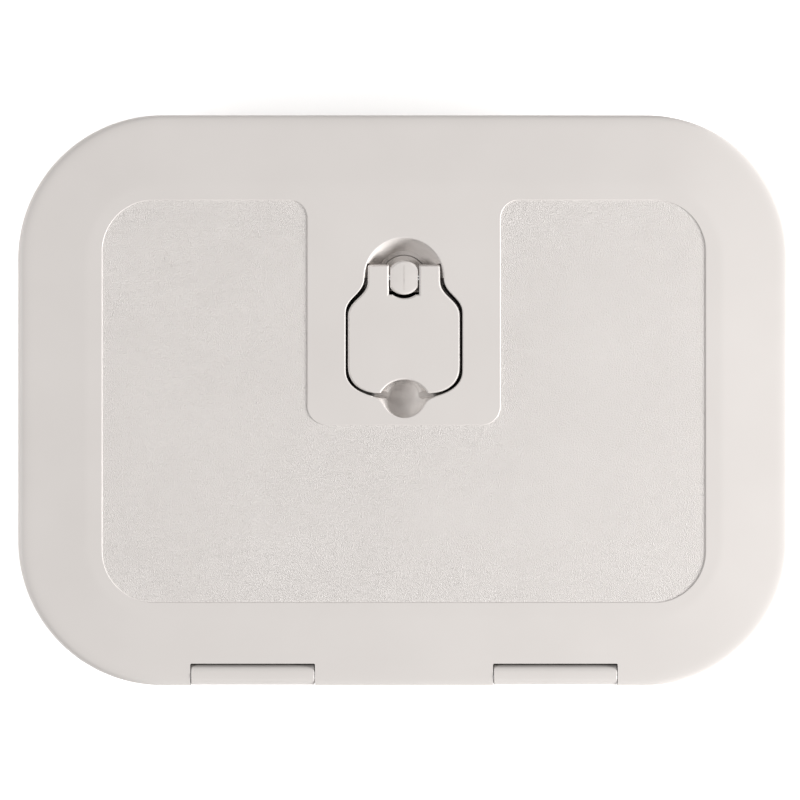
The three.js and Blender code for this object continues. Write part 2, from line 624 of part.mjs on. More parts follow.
for (const [name, x] of keeperScrews) {
  const under = KEEPER_Y - KEEPER_THICK - GAP;
  const head = alongY(x, KEEPER_SCREW_Z, PAN_HEAD_R, under - PAN_HEAD_THICK, under);
  const shank = alongY(x, KEEPER_SCREW_Z, KEEPER_SCREW_R, under - 1, KEEPER_Y + KEEPER_SCREW_END);
  piece(name, join(head, shank), steel);
}

export default group;
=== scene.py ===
# %% [markdown]
# # A flush deck hatch
#
# This lesson dresses a working model of a boat's deck hatch. The model arrives as a fixed frame: each
# piece has its size, its place and the body it moves with. We build a fine version of each piece around
# it and give every surface a finish made of nodes. Sizes below are in millimetres, and every mesh is made
# in metres.

# %% Load the fixed frame
import json
import math

import bmesh
import bpy
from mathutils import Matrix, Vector

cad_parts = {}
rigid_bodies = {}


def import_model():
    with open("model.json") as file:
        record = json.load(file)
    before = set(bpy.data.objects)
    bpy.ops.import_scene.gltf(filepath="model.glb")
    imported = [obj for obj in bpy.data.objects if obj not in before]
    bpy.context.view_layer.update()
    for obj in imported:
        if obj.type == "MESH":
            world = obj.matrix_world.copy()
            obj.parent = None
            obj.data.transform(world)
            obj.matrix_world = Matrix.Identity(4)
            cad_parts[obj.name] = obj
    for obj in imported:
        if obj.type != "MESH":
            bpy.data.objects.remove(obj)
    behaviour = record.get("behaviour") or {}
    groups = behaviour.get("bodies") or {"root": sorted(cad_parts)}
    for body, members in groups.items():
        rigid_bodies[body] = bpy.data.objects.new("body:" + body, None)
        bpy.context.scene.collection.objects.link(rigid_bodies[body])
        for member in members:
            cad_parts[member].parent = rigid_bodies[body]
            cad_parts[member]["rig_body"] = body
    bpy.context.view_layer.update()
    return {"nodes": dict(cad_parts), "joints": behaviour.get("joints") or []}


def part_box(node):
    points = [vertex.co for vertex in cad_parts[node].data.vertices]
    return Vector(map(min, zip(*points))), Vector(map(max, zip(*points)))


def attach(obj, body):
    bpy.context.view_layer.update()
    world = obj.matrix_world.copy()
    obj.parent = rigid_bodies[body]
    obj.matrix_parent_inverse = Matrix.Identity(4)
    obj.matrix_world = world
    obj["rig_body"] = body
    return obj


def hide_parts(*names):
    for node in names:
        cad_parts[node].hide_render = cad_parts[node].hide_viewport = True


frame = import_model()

# %% [markdown]
# ## Sizes that come from the frame
#
# A box round each piece gives its lowest and highest corner, so nothing has to be measured twice. The lid
# gives the outline, the head gives the latch's axis, and the joint gives the hinge's axis.

# %% Read the sizes
MM = 0.001


def extent(node):
    """The corners of a piece's box, in millimetres."""
    low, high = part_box(node)
    return low / MM, high / MM


lid_high = extent("lid")[1]
head_low, head_high = extent("latch_head")
knuckle_low, knuckle_high = extent("hinge_knuckle_right")

HALF_X = lid_high.x
HALF_Y = lid_high.y
TOP = lid_high.z
CORNER = 70.0
SPINDLE_Y = (head_low.y + head_high.y) / 2
DIMPLE_Y = 2.3
KNUCKLE_X = (knuckle_low.x + knuckle_high.x) / 2
hinge = next(joint for joint in frame["joints"] if joint["name"] == "lid_hinge")
lift = next(joint for joint in frame["joints"] if joint["name"] == "handle_lift")
HINGE_Y, HINGE_Z = (value / MM for value in hinge["pos_m"][1:])
LIFT_Z = lift["pos_m"][2] / MM
print(f"lid {2 * HALF_X:.1f} x {2 * HALF_Y:.1f} mm, top at {TOP:.1f}")
print(f"hinge axis at y {HINGE_Y:.1f}, z {HINGE_Z:.1f}")

# %% [markdown]
# ## Outlines
#
# Every moulded piece here starts as a flat outline. Arcs and Bezier curves give the points, and a fillet
# rounds any corner of a plain polygon. An outline runs anticlockwise, so its outside is always on the
# right, and `grown` can move each point outwards along the corner's mitre.

# %% Outline helpers
def arc(x, y, radius, start, end, steps):
    """Points on a circle's arc, with angles in degrees."""
    angles = [math.radians(start + (end - start) * i / steps) for i in range(steps + 1)]
    return [(x + radius * math.cos(a), y + radius * math.sin(a)) for a in angles]


def bezier(p0, p1, p2, p3, steps=14):
    points = []
    for i in range(steps + 1):
        t = i / steps
        weights = ((1 - t) ** 3, 3 * t * (1 - t) ** 2, 3 * t * t * (1 - t), t ** 3)
        points.append(tuple(sum(w * p[k] for w, p in zip(weights, (p0, p1, p2, p3))) for k in (0, 1)))
    return points


def clean(points, closest=0.02):
    """The outline without points that sit on top of each other."""
    kept = []
    for point in points:
        if not kept or math.dist(point, kept[-1]) > closest:
            kept.append(point)
    if math.dist(kept[0], kept[-1]) <= closest:
        kept.pop()
    return kept


def mirrored(right_half):
    """A closed outline from its right half, which runs from the bottom to the top."""
    return clean(right_half + [(-x, y) for x, y in reversed(right_half)])


def grown(points, distance):
    """The outline moved outwards, along each corner's mitre."""
    moved = []
    for i, point in enumerate(points):
        before, after = Vector(points[i - 1]), Vector(points[(i + 1) % len(points)])
        here = Vector(point)
        first = (here - before).normalized()
        second = (after - here).normalized()
        mitre = Vector((first.y + second.y, -first.x - second.x))
        moved.append(tuple(here + mitre * (distance / max(0.3, 1 + first.dot(second)))))
    return moved


def filleted(corners, radius, steps=5):
    """A polygon with its corners rounded; radius is one number, or one for each corner."""
    radii = radius if isinstance(radius, (list, tuple)) else [radius] * len(corners)
    points = []
    for i, corner in enumerate(corners):
        if radii[i] <= 0:
            points.append(tuple(corner))
            continue
        here = Vector(corner)
        back = Vector(corners[i - 1]) - here
        on = Vector(corners[(i + 1) % len(corners)]) - here
        half = back.angle(on) / 2
        short_of_middle = 0.49 * min(back.length, on.length)
        reach = min(radii[i] / math.tan(half), short_of_middle)
        start = here + back.normalized() * reach
        end = here + on.normalized() * reach
        for k in range(steps + 1):
            t = k / steps
            points.append(tuple((1 - t) ** 2 * start + 2 * t * (1 - t) * here + t * t * end))
    return points


def rounded_rectangle(half_x, half_y, radius, steps=28):
    x, y = half_x - radius, half_y - radius
    quarters = ((x, -y, -90), (x, y, 0), (-x, y, 90), (-x, -y, 180))
    return [point for cx, cy, start in quarters for point in arc(cx, cy, radius, start, start + 90, steps)]


def lid_outline(inset, steps=28):
    return rounded_rectangle(HALF_X - inset, HALF_Y - inset, CORNER - inset, steps)


# %% [markdown]
# ## Solids
#
# Three makers cover almost every piece. `prism` stacks copies of an outline, each grown or shrunk by a
# profile, and caps both ends: the profile gives the rounded edges. `band` does the same with a closed
# profile and no caps, so it gives a ring that follows the hatch's outline. `turned` spins a profile round
# an axis. Booleans then join or cut them; the Manifold solver is fast and always leaves a closed shell.

# %% Makers of solids
WELD = 1e-7  # metres; corners closer than this are one corner


def upright(u, v, w):
    return (u, v, w)


def along_x(u, v, w):
    """An outline drawn in Y and Z, raised along X."""
    return (w, u, v)


def along_y(u, v, w):
    """An outline drawn in X and Z, raised along -Y, which keeps its faces outwards."""
    return (u, -w, v)


def mended(obj, repair=None):
    """Runs a repair on the object's mesh and turns all its faces outwards."""
    shell = bmesh.new()
    shell.from_mesh(obj.data)
    if repair:
        repair(shell)
    bmesh.ops.recalc_face_normals(shell, faces=shell.faces)
    shell.to_mesh(obj.data)
    shell.free()
    return obj


def join_corners(shell):
    bmesh.ops.remove_doubles(shell, verts=shell.verts, dist=WELD)


def drop_slivers(shell):
    bmesh.ops.dissolve_degenerate(shell, edges=shell.edges, dist=WELD)


def new_object(name, points, faces, turn=upright):
    mesh = bpy.data.meshes.new(name)
    mesh.from_pydata([Vector(turn(*point)) * MM for point in points], [], faces)
    mesh.materials.append(None)
    obj = bpy.data.objects.new(name, mesh)
    bpy.context.scene.collection.objects.link(obj)
    return mended(obj, join_corners)


def bridged(rings, count):
    """Quads between each ring of points and the next."""
    faces = []
    for ring in range(rings - 1):
        for i in range(count):
            j = (i + 1) % count
            a, b = ring * count, (ring + 1) * count
            faces.append((a + i, a + j, b + j, b + i))
    return faces


def prism(name, outline, profile, turn=upright):
    """profile is a list of (growth, height), from the lowest cap to the highest."""
    count = len(outline)
    points = [(x, y, z) for growth, z in profile for x, y in grown(outline, growth)]
    faces = bridged(len(profile), count)
    last = (len(profile) - 1) * count
    faces.append(tuple(reversed(range(count))))
    faces.append(tuple(range(last, last + count)))
    return new_object(name, points, faces, turn)


def band(name, profile, steps=28):
    """A ring along the hatch's outline: profile is closed, a list of (inset, height)."""
    loops = profile + profile[:1]
    points = [(x, y, z) for inset, z in loops for x, y in lid_outline(inset, steps)]
    return new_object(name, points, bridged(len(loops), len(lid_outline(0, steps))))


def turned(name, x, y, profile, steps=64, turn=upright, closed=False):
    """profile is a list of (radius, height); it starts and ends on the axis, or is closed on itself."""
    loops = profile + profile[:1] if closed else profile
    points = []
    for radius, z in loops:
        for i in range(steps):
            a = 2 * math.pi * i / steps
            points.append((x + radius * math.cos(a), y + radius * math.sin(a), z))
    return mended(new_object(name, points, bridged(len(loops), steps), turn), drop_slivers)


def edges_rounded(low, high, round_low, round_high, steps=4):
    """A prism's profile whose two ends have a quarter-round edge."""
    turns = [math.pi / 2 * i / steps for i in range(steps + 1)]
    first = [(round_low * (math.sin(a) - 1), low + round_low * (1 - math.cos(a))) for a in turns]
    second = [(round_high * (math.cos(a) - 1), high - round_high * (1 - math.sin(a))) for a in turns]
    return (first if round_low else [(0, low)]) + (second if round_high else [(0, high)])


def combine(target, tool, operation="DIFFERENCE"):
    """One boolean, applied at once; the tool is thrown away."""
    modifier = target.modifiers.new("combine", "BOOLEAN")
    modifier.operation = operation
    modifier.solver = "MANIFOLD"
    modifier.object = tool
    depsgraph = bpy.context.evaluated_depsgraph_get()
    mesh = bpy.data.meshes.new_from_object(target.evaluated_get(depsgraph))
    target.modifiers.clear()
    target.data = mesh
    bpy.data.objects.remove(tool)
    return target


def cut(target, *tools):
    for tool in tools:
        combine(target, tool)
    return target


def weld(target, *tools):
    for tool in tools:
        combine(target, tool, "UNION")
    return target


def slab(name, x0, x1, y0, y1, low, high, corner=0.6, round_low=0.0, round_high=0.0):
    outline = filleted([(x0, y0), (x1, y0), (x1, y1), (x0, y1)], corner)
    return prism(name, outline, edges_rounded(low, high, round_low, round_high, 3))


def rod(name, y, z, radius, x0, x1, steps=40, chamfer=0.0):
    """A round bar along X, about a line at y and z."""
    profile = [(0, x0), (radius - chamfer, x0), (radius, x0 + chamfer), (radius, x1 - chamfer)]
    profile += [(radius - chamfer, x1), (0, x1)]
    return turned(name, y, z, profile, steps, along_x)


# %% [markdown]
# ## Finishes
#
# The moulded parts are a warm off-white, weather-proof plastic with a satin skin. Under a raking light
# its skin shows a very fine spark-eroded texture and slow changes of tone, so both go in as noise on
# Object coordinates. The lid's non-slip panel has a pebble grain. The walls of the joints round the handle
# and the knuckles are painted near-black, as painted shade for those narrow gaps. Steel is brushed, and
# the seal is matt rubber.

# %% Material helpers
# A noise's scale counts its waves in a metre, so 1000 is one wave in each millimetre.
def new_finish(name):
    material = bpy.data.materials.new(name)
    material.use_nodes = True
    nodes = material.node_tree.nodes
    links = material.node_tree.links
    shader = nodes["Principled BSDF"]
    where = nodes.new("ShaderNodeTexCoord")
    return material, nodes, links, shader, where.outputs["Object"]


def noise(nodes, links, where, scale, detail=2.0, stretch=None):
    texture = nodes.new("ShaderNodeTexNoise")
    texture.inputs["Scale"].default_value = scale
    texture.inputs["Detail"].default_value = detail
    if stretch:
        mapping = nodes.new("ShaderNodeMapping")
        mapping.inputs["Scale"].default_value = stretch
        links.new(where, mapping.inputs["Vector"])
        where = mapping.outputs["Vector"]
    links.new(where, texture.inputs["Vector"])
    return texture.outputs["Fac"]


def spread(nodes, links, value, low, high):
    """A number between 0 and 1 stretched to the range from low to high."""
    node = nodes.new("ShaderNodeMapRange")
    node.inputs["To Min"].default_value = low
    node.inputs["To Max"].default_value = high
    links.new(value, node.inputs["Value"])
    return node.outputs["Result"]


def tones(nodes, links, value, dark, light):
    ramp = nodes.new("ShaderNodeValToRGB")
    ramp.color_ramp.elements[0].position = 0.3
    ramp.color_ramp.elements[0].color = (*dark, 1)
    ramp.color_ramp.elements[1].position = 0.7
    ramp.color_ramp.elements[1].color = (*light, 1)
    links.new(value, ramp.inputs["Fac"])
    return ramp.outputs["Color"]


def bumped(nodes, links, shader, height, depth, strength=1.0, below=None):
    """A bump of that depth in millimetres; below is another bump's output that it sits on."""
    bump = nodes.new("ShaderNodeBump")
    bump.inputs["Distance"].default_value = depth * MM
    bump.inputs["Strength"].default_value = strength
    links.new(height, bump.inputs["Height"])
    if below:
        links.new(below, bump.inputs["Normal"])
    links.new(bump.outputs["Normal"], shader.inputs["Normal"])
    return bump.outputs["Normal"]


# %% Moulded plastic, smooth and pebbled
PLASTIC_DARK = (0.700, 0.660, 0.633)
PLASTIC_LIGHT = (0.722, 0.682, 0.655)
PANEL_DARK = (0.735, 0.693, 0.665)  # the grain shades itself, so its plastic is set a little lighter
PANEL_LIGHT = (0.758, 0.716, 0.688)
# Painted shade: near-black tones for the walls of the gaps round the handle and the knuckles.
PAINTED_SHADE_TONES = ((0.045, 0.040, 0.035), (0.11, 0.10, 0.09))
PEBBLES = 2300
FINE_GRAIN = 3400
# The painted shade fades back to plain plastic between these two distances.
SHADE_FADE_START, SHADE_FADE_END = 13, 16  # distances from the dimple's middle


def moulded_plastic(name, pebbled=False):
    material, nodes, links, shader, where = new_finish(name)
    slow = noise(nodes, links, where, 22, 3)
    dark, light = (PANEL_DARK, PANEL_LIGHT) if pebbled else (PLASTIC_DARK, PLASTIC_LIGHT)
    links.new(tones(nodes, links, slow, dark, light), shader.inputs["Base Color"])
    patches = noise(nodes, links, where, 60, 4)
    links.new(spread(nodes, links, patches, 0.40, 0.50), shader.inputs["Roughness"])
    skin = noise(nodes, links, where, 2600, 2)
    below = bumped(nodes, links, shader, skin, 0.006)
    if pebbled:
        pebbles = nodes.new("ShaderNodeTexVoronoi")
        pebbles.feature = "SMOOTH_F1"
        pebbles.inputs["Scale"].default_value = PEBBLES
        links.new(where, pebbles.inputs["Vector"])
        below = bumped(nodes, links, shader, pebbles.outputs["Distance"], 0.42, 0.8, below)
        bumped(nodes, links, shader, noise(nodes, links, where, FINE_GRAIN, 1), 0.32, 0.8, below)
    return material


def painted_shade_plastic(name):
    """The same plastic painted near-black, as painted shade for the gaps; it fades back to plain plastic
    near the dimple.
    """
    material, nodes, links, shader, where = new_finish(name)
    # The painted shade is mottled; the same noise sets its roughness and a small bump.
    mottle = noise(nodes, links, where, 120, 4)
    flat = nodes.new("ShaderNodeVectorMath")
    flat.operation = "MULTIPLY"
    flat.inputs[1].default_value = (1, 1, 0)
    links.new(where, flat.inputs[0])
    reach = nodes.new("ShaderNodeVectorMath")
    reach.operation = "DISTANCE"
    reach.inputs[1].default_value = (0, DIMPLE_Y * MM, 0)
    links.new(flat.outputs["Vector"], reach.inputs[0])
    shade_fade = nodes.new("ShaderNodeMapRange")
    shade_fade.inputs["From Min"].default_value = SHADE_FADE_START * MM
    shade_fade.inputs["From Max"].default_value = SHADE_FADE_END * MM
    links.new(reach.outputs["Value"], shade_fade.inputs["Value"])
    mix = nodes.new("ShaderNodeMix")
    mix.data_type = "RGBA"
    mix.inputs["A"].default_value = (*PLASTIC_LIGHT, 1)
    links.new(shade_fade.outputs["Result"], mix.inputs["Factor"])
    links.new(tones(nodes, links, mottle, *PAINTED_SHADE_TONES), mix.inputs["B"])
    links.new(mix.outputs["Result"], shader.inputs["Base Color"])
    links.new(spread(nodes, links, mottle, 0.7, 0.95), shader.inputs["Roughness"])
    bumped(nodes, links, shader, mottle, 0.05)
    return material


plastic = moulded_plastic("satin_white_plastic")
# The third finish is painted shade for the gaps.
painted_shade = painted_shade_plastic("white_plastic_painted_shade")
non_slip = moulded_plastic("pebbled_white_plastic", pebbled=True)


# %% Steel, rubber and acetal
STEEL = ((0.62, 0.62, 0.63), (0.78, 0.78, 0.79))
RUBBER = ((0.012, 0.012, 0.013), (0.026, 0.026, 0.027))
ACETAL = ((0.74, 0.74, 0.70), (0.80, 0.80, 0.76))


def brushed_steel(name, stretch):
    material, nodes, links, shader, where = new_finish(name)
    shader.inputs["Metallic"].default_value = 1.0
    brush = noise(nodes, links, where, 900, 3, stretch)
    links.new(tones(nodes, links, brush, *STEEL), shader.inputs["Base Color"])
    links.new(spread(nodes, links, brush, 0.22, 0.42), shader.inputs["Roughness"])
    bumped(nodes, links, shader, brush, 0.012, 0.5)
    return material


def matt_rubber(name):
    material, nodes, links, shader, where = new_finish(name)
    bloom = noise(nodes, links, where, 45, 4)
    links.new(tones(nodes, links, bloom, *RUBBER), shader.inputs["Base Color"])
    links.new(spread(nodes, links, bloom, 0.62, 0.85), shader.inputs["Roughness"])
    bumped(nodes, links, shader, noise(nodes, links, where, 1800, 2), 0.02, 0.6)
    return material


def natural_acetal(name):
    material, nodes, links, shader, where = new_finish(name)
    cloud = noise(nodes, links, where, 80, 2)
    links.new(tones(nodes, links, cloud, *ACETAL), shader.inputs["Base Color"])
    links.new(spread(nodes, links, cloud, 0.28, 0.40), shader.inputs["Roughness"])
    bumped(nodes, links, shader, noise(nodes, links, where, 1200, 2), 0.004)
    return material


steel_across = brushed_steel("brushed_steel_across", (0.04, 1, 1))
steel_turned = brushed_steel("turned_steel", (1, 1, 0.08))
rubber = matt_rubber("matt_black_rubber")
acetal = natural_acetal("natural_acetal")
print("finishes:", ", ".join(material.name for material in bpy.data.materials if material.use_nodes))

# %% [markdown]
# ## Handing a piece over
#
# Each finished mesh gets its shading, its finish, the body it rides on, and the plain piece that it
# stands for. Weighted normals keep the large flat faces flat beside their small rounded edges.

# %% Finish a piece
SHARP = math.radians(32)


def baked(obj):
    """The object with its modifiers turned into plain mesh."""
    depsgraph = bpy.context.evaluated_depsgraph_get()
    mesh = bpy.data.meshes.new_from_object(obj.evaluated_get(depsgraph))
    obj.modifiers.clear()
    obj.data = mesh
    return obj


def finish_piece(obj, node, *materials):
    """Shade the mesh, paint it, and put it on the same body as the plain piece that it replaces."""
    painted = [face.material_index for face in obj.data.polygons]
    obj.data.materials.clear()
    for material in materials:
        obj.data.materials.append(material)
    if len(materials) > 1:
        obj.data.polygons.foreach_set("material_index", painted)
    obj.data.shade_smooth()
    obj.data.set_sharp_from_angle(angle=SHARP)
    normals = obj.modifiers.new("flat faces stay flat", "WEIGHTED_NORMAL")
    normals.keep_sharp = True
    normals.weight = 90
    baked(obj)
    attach(obj, frame["nodes"][node]["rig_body"])
    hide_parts(node)
    print(f"{obj.name}: {len(obj.data.polygons)} faces")
    return obj


# %% [markdown]
# ## The latch recess
#
# The lid's recess has three parts that run into each other: a flat-floored pocket for the folded handle,
# a dished bowl round the latch head, and a finger dimple below the handle's end. Each is a cutter of its
# own with a mouth that flares out, so the cut leaves a soft moulded edge and not a knife edge.

# %% Outlines of handle, recess and dimple
BOWL = 19.3  # radius of the mouth
BOWL_FLOOR = 37.0
BOWL_CENTRE = 51.5  # height of the middle of the ball that would fit the bowl
POCKET_FLOOR = 40.9
GROOVE = 0.9
DIMPLE = 10.7  # radius
DIMPLE_DEPTH = 9.6


def handle_outline():
    """A flap with a fork at its upper end, and a hollow in its lower end round the finger dimple."""
    leg, body, end = 17.6, 27.2, SPINDLE_Y + 6.4
    shoulder, slot = SPINDLE_Y - 8.2, 7.4
    right = arc(0, -3.2, 13.2, 90, 31, 12)
    right += [(11.4, 3.45), (14.4, 3.5)]
    right += bezier((14.4, 3.5), (20, 4.0), (body, 7.2), (body, 16.5))
    right += bezier((body, 41), (body, 48.5), (leg, 50.5), (leg, 57.5))
    right += arc(leg - 1.4, end - 1.4, 1.4, 0, 90, 5)
    right += [(slot, end), (slot, shoulder), (5.6, shoulder)]
    right += arc(0, SPINDLE_Y, 10, -57, -90, 8)
    return mirrored(right)


def recess_outline(grow=0.0):
    """The handle's outline with a gap round it, closed across the bowl."""
    half, leg = 28.4 + grow, BOWL + grow
    right = [(0, 0.8 - grow), (9, 0.8 - grow)]
    right += bezier((11, 1.0 - grow), (19, 2.6 - grow), (half, 5.6 - grow), (half, 14.5))
    right += bezier((half, 42.3), (half, 50), (leg, 51.5), (leg, SPINDLE_Y))
    right += [(0, SPINDLE_Y)]
    return mirrored(right)


def dimple_outline():
    """The dimple's mouth: a round lower side that swings out to meet the pocket's edges."""
    right = arc(0, DIMPLE_Y, DIMPLE, -90, -28, 12)
    right += bezier((9.45, -2.7), (10.8, -0.3), (12.3, 0.9), (15.5, 1.9), 8)
    right += bezier((15.5, 1.9), (15.5, 8), (8, 12.5), (0, 12.5), 10)
    return mirrored(right)


# %% The three cutters
def flared(depth_profile, flare):
    """Adds a mouth that opens tangentially into the surface, and runs on above it."""
    mouth = [(0.0, TOP - 0.75), (0.06 * flare, TOP - 0.42), (0.27 * flare, TOP - 0.17)]
    mouth += [(0.6 * flare, TOP - 0.03), (flare, TOP + 0.02), (flare + 0.3, TOP + 4)]
    return depth_profile + mouth


def pocket_cutter():
    """The pocket, down to the drain groove that runs round its floor."""
    floor = [(-1.1, -GROOVE), (-0.6, 0.12 - GROOVE), (-0.2, 0.45 - GROOVE), (0, 1.1 - GROOVE)]
    sides = [(growth, POCKET_FLOOR + rise) for growth, rise in floor]
    return prism("pocket", recess_outline(), flared(sides, 0.6))


def pocket_floor():
    """What stands inside the groove, under the handle."""
    inner = grown(recess_outline(), -3.2)
    sides = [(0.4, POCKET_FLOOR - 2), (0.1, POCKET_FLOOR - 0.4), (-0.3, POCKET_FLOOR)]
    return prism("pocket_floor", inner, sides)


def bowl_cutter():
    ball = math.hypot(BOWL, BOWL_CENTRE - TOP)
    profile = [(0, BOWL_FLOOR)]
    steps = 24
    for i in range(steps + 1):
        z = BOWL_FLOOR + (TOP - 0.55 - BOWL_FLOOR) * i / steps
        profile.append((math.sqrt(ball ** 2 - (BOWL_CENTRE - z) ** 2), z))
    edge = profile[-1][0]
    profile += [(edge + 0.12, TOP - 0.3), (edge + 0.33, TOP - 0.1), (edge + 0.75, TOP + 0.02)]
    profile += [(edge + 1, TOP + 4), (0, TOP + 4)]
    return turned("bowl", 0, SPINDLE_Y, profile, 128)


def dimple_cutter():
    """Rings that shrink towards the dimple's middle: round below, and shaped like the mouth near the top."""
    fullness, lateness = 2.6, 9  # of the section, and of the change from round rings to the mouth's shape
    mouth = dimple_outline()
    middle = Vector((0, DIMPLE_Y))
    shares = [math.sin(math.radians(a)) for a in range(4, 87, 4)]
    points = []
    for share in shares:
        z = TOP - DIMPLE_DEPTH * (1 - share ** fullness) ** (1 / fullness)
        pull = share ** lateness
        for x, y in mouth:
            reach = Vector((x, y)) - middle
            shape = reach.normalized() * DIMPLE * (1 - pull) + reach * pull
            points.append((*(middle + shape * share), z))
    lip = ((0.1, -0.28), (0.3, -0.08), (0.75, 0.02), (1.0, 4))
    for growth, rise in lip:
        points += [(x, y, TOP + rise) for x, y in grown(mouth, growth)]
    rings, count = len(shares) + len(lip), len(mouth)
    faces = bridged(rings, count)
    faces += [tuple(reversed(range(count))), tuple(range((rings - 1) * count, rings * count))]
    return new_object("dimple", points, faces)


# %% [markdown]
# ## The lid
#
# One moulding: a skin about 3 mm thick with a turned-down skirt. A prism whose profile climbs the skirt,
# rounds the edge and then rises very gently to the flat middle gives the outside. The inside is cut away,
# ribs, gasket channel, latch pan and hinge ears are welded in, and the recesses and hinge notches are cut
# last.

# %% Lid: outside skin
SKIRT_FOOT = HINGE_Z - 7.1
RIM_SLOPE = 0.035
BREAK_INSET = 33.0
WALL = 3.2
UNDERSIDE = TOP - WALL
PANEL_DEPTH = 0.36


def rim_height(inset):
    return TOP - RIM_SLOPE * max(0.0, BREAK_INSET - inset)


def lid_profile():
    skirt = [(-0.9, SKIRT_FOOT), (-0.5, SKIRT_FOOT + 0.12), (-0.15, SKIRT_FOOT + 0.45), (0, SKIRT_FOOT + 1)]
    shoulder = bezier((0, 43.9), (0, 45.6), (0.75, 46.45), (2.6, 46.78), 10)
    crown = bezier((2.6, 46.78), (4.2, 47.03), (6.2, rim_height(6.2) + 0.02), (10, rim_height(10)), 6)
    flat = [(inset, rim_height(inset)) for inset in (16, 24, BREAK_INSET - 1.5)]
    top = [(BREAK_INSET, TOP - 0.012), (BREAK_INSET + 1.5, TOP)]
    return skirt + [(-inset, z) for inset, z in clean(shoulder + crown + flat + top)]


def panel_outline():
    """The non-slip panel: a rounded rectangle with a bay in its upper side for the latch."""
    half_x, top, bottom, corner = 146.5, 97.2, -98.2, 25
    bay, bay_bottom, small = 46.8, -12.0, 9.0
    right = arc(half_x - corner, bottom + corner, corner, -90, 0, 20)
    right += arc(half_x - corner, top - corner, corner, 0, 90, 20)
    right += arc(bay + small, top - small, small, 90, 180, 10)
    right += arc(bay - small, bay_bottom + small, small, 0, -90, 10)
    return mirrored(right)


# %% Lid: everything under the skin
RIB_FOOT = 40.5
RIB = 2.0  # thickness
CHANNEL = 1.6  # thickness of the gasket channel's walls
RIB_INSET = 37.0
PIN_BORE = 2.3  # radius
NOTCH_HALF = 30.25
NOTCH_DEPTH = 5.4


def underside_solids():
    """Ribs, gasket channel, latch pan, spindle seat and hinge ears; each reaches into the skin."""
    high = UNDERSIDE + 1
    inner_x, inner_y = HALF_X - RIB_INSET, HALF_Y - RIB_INSET
    for near in (26.9, 36.5):
        far = near + CHANNEL
        corners = [(near, high), (near, RIB_FOOT), (far, RIB_FOOT), (far, high)]
        yield band("channel_wall", filleted(corners, 0.5, 3))
    for y in (-70, -35, 10, 45):
        yield slab("rib", -inner_x, inner_x, y - RIB / 2, y + RIB / 2, RIB_FOOT, high, 0.3, 0.6)
    for x in (-100, -50, 50, 100):
        yield slab("rib", x - RIB / 2, x + RIB / 2, -inner_y, inner_y, RIB_FOOT, high, 0.3, 0.6)
    yield prism("pan", recess_outline(3.0), edges_rounded(POCKET_FLOOR - 3, high, 2.0, 0))
    bowl = [(0, BOWL_FLOOR - WALL), (BOWL - 1, BOWL_FLOOR - WALL), (BOWL + 2, BOWL_FLOOR - 1)]
    bowl += [(BOWL + 3, BOWL_FLOOR + 2), (BOWL + 3, high), (0, high)]
    yield turned("pan_bowl", 0, SPINDLE_Y, bowl, 96)
    dimple = [(0, 35.3), (7, 35.8), (11.5, 38.5), (13.7, 42), (13.7, high), (0, high)]
    yield turned("pan_dimple", 0, DIMPLE_Y, dimple)
    seat = [(0, 27.8), (13.4, 27.8), (14, 28.4), (14, 33), (15, 34), (15, high), (0, high)]
    yield turned("spindle_seat", 0, SPINDLE_Y, seat)
    for side in (-1, 1):
        middle = side * KNUCKLE_X
        yield slab("ear", middle - 37, middle + 37, 2 - HALF_Y, HINGE_Y + 7.9, 37, high, 1.0, 0.5)


def hinge_cuts():
    """The notch that the knuckle fills, the pin's bore and the pocket for its clip, on each side."""
    for side in (-1, 1):
        middle = side * KNUCKLE_X
        corners = [(-NOTCH_HALF, -9), (NOTCH_HALF, -9)]
        corners += [(NOTCH_HALF, NOTCH_DEPTH), (-NOTCH_HALF, NOTCH_DEPTH)]
        notch = filleted(corners, [0, 0, 0.7, 0.7])
        yield prism("notch", [(middle + x, HINGE_Y + y) for x, y in notch], [(0, 30), (0, TOP + 4)])
        ends = sorted((middle - side * 38, middle + side * 35.3))
        yield rod("pin_bore", HINGE_Y, HINGE_Z, PIN_BORE, *ends)
        pocket = sorted((middle - side * 37, middle - side * 42))
        yield rod("clip_pocket", HINGE_Y, HINGE_Z, 3.8, *pocket)


# %% Lid: put it together
def latch_cuts():
    yield bowl_cutter()
    yield dimple_cutter()
    sweep, half_length = 6.9, 18.0
    trough = [(-sweep, TOP + 2), *arc(0, LIFT_Z, sweep, 180, 360, 24), (sweep, TOP + 2)]
    section = [(SPINDLE_Y + y, z) for y, z in reversed(trough)]
    yield prism("trough", section, [(0, -half_length), (0, half_length)], along_x)
    yield turned("disc_seat", 0, SPINDLE_Y, [(0, 34.8), (11.3, 34.8), (11.3, 40), (0, 40)], 96)
    yield turned("seat_bore", 0, SPINDLE_Y, [(0, 20), (7, 20), (7, 36), (0, 36)])


def build_lid():
    lid = prism("lid_moulding", lid_outline(0, 40), lid_profile())
    cut(lid, prism("inside", lid_outline(WALL, 40), edges_rounded(20, UNDERSIDE, 0, 2.0)))
    weld(lid, *underside_solids())
    wall = [(-0.22, -PANEL_DEPTH), (-0.12, -0.93 * PANEL_DEPTH), (0.12, -0.14 * PANEL_DEPTH)]
    wall += [(0.18, -0.02), (0.28, 0.02), (0.5, 4)]
    panel = prism("panel", panel_outline(), [(growth, TOP + rise) for growth, rise in wall])
    cut(lid, panel, pocket_cutter())
    weld(lid, pocket_floor())
    return cut(lid, *latch_cuts(), *hinge_cuts())


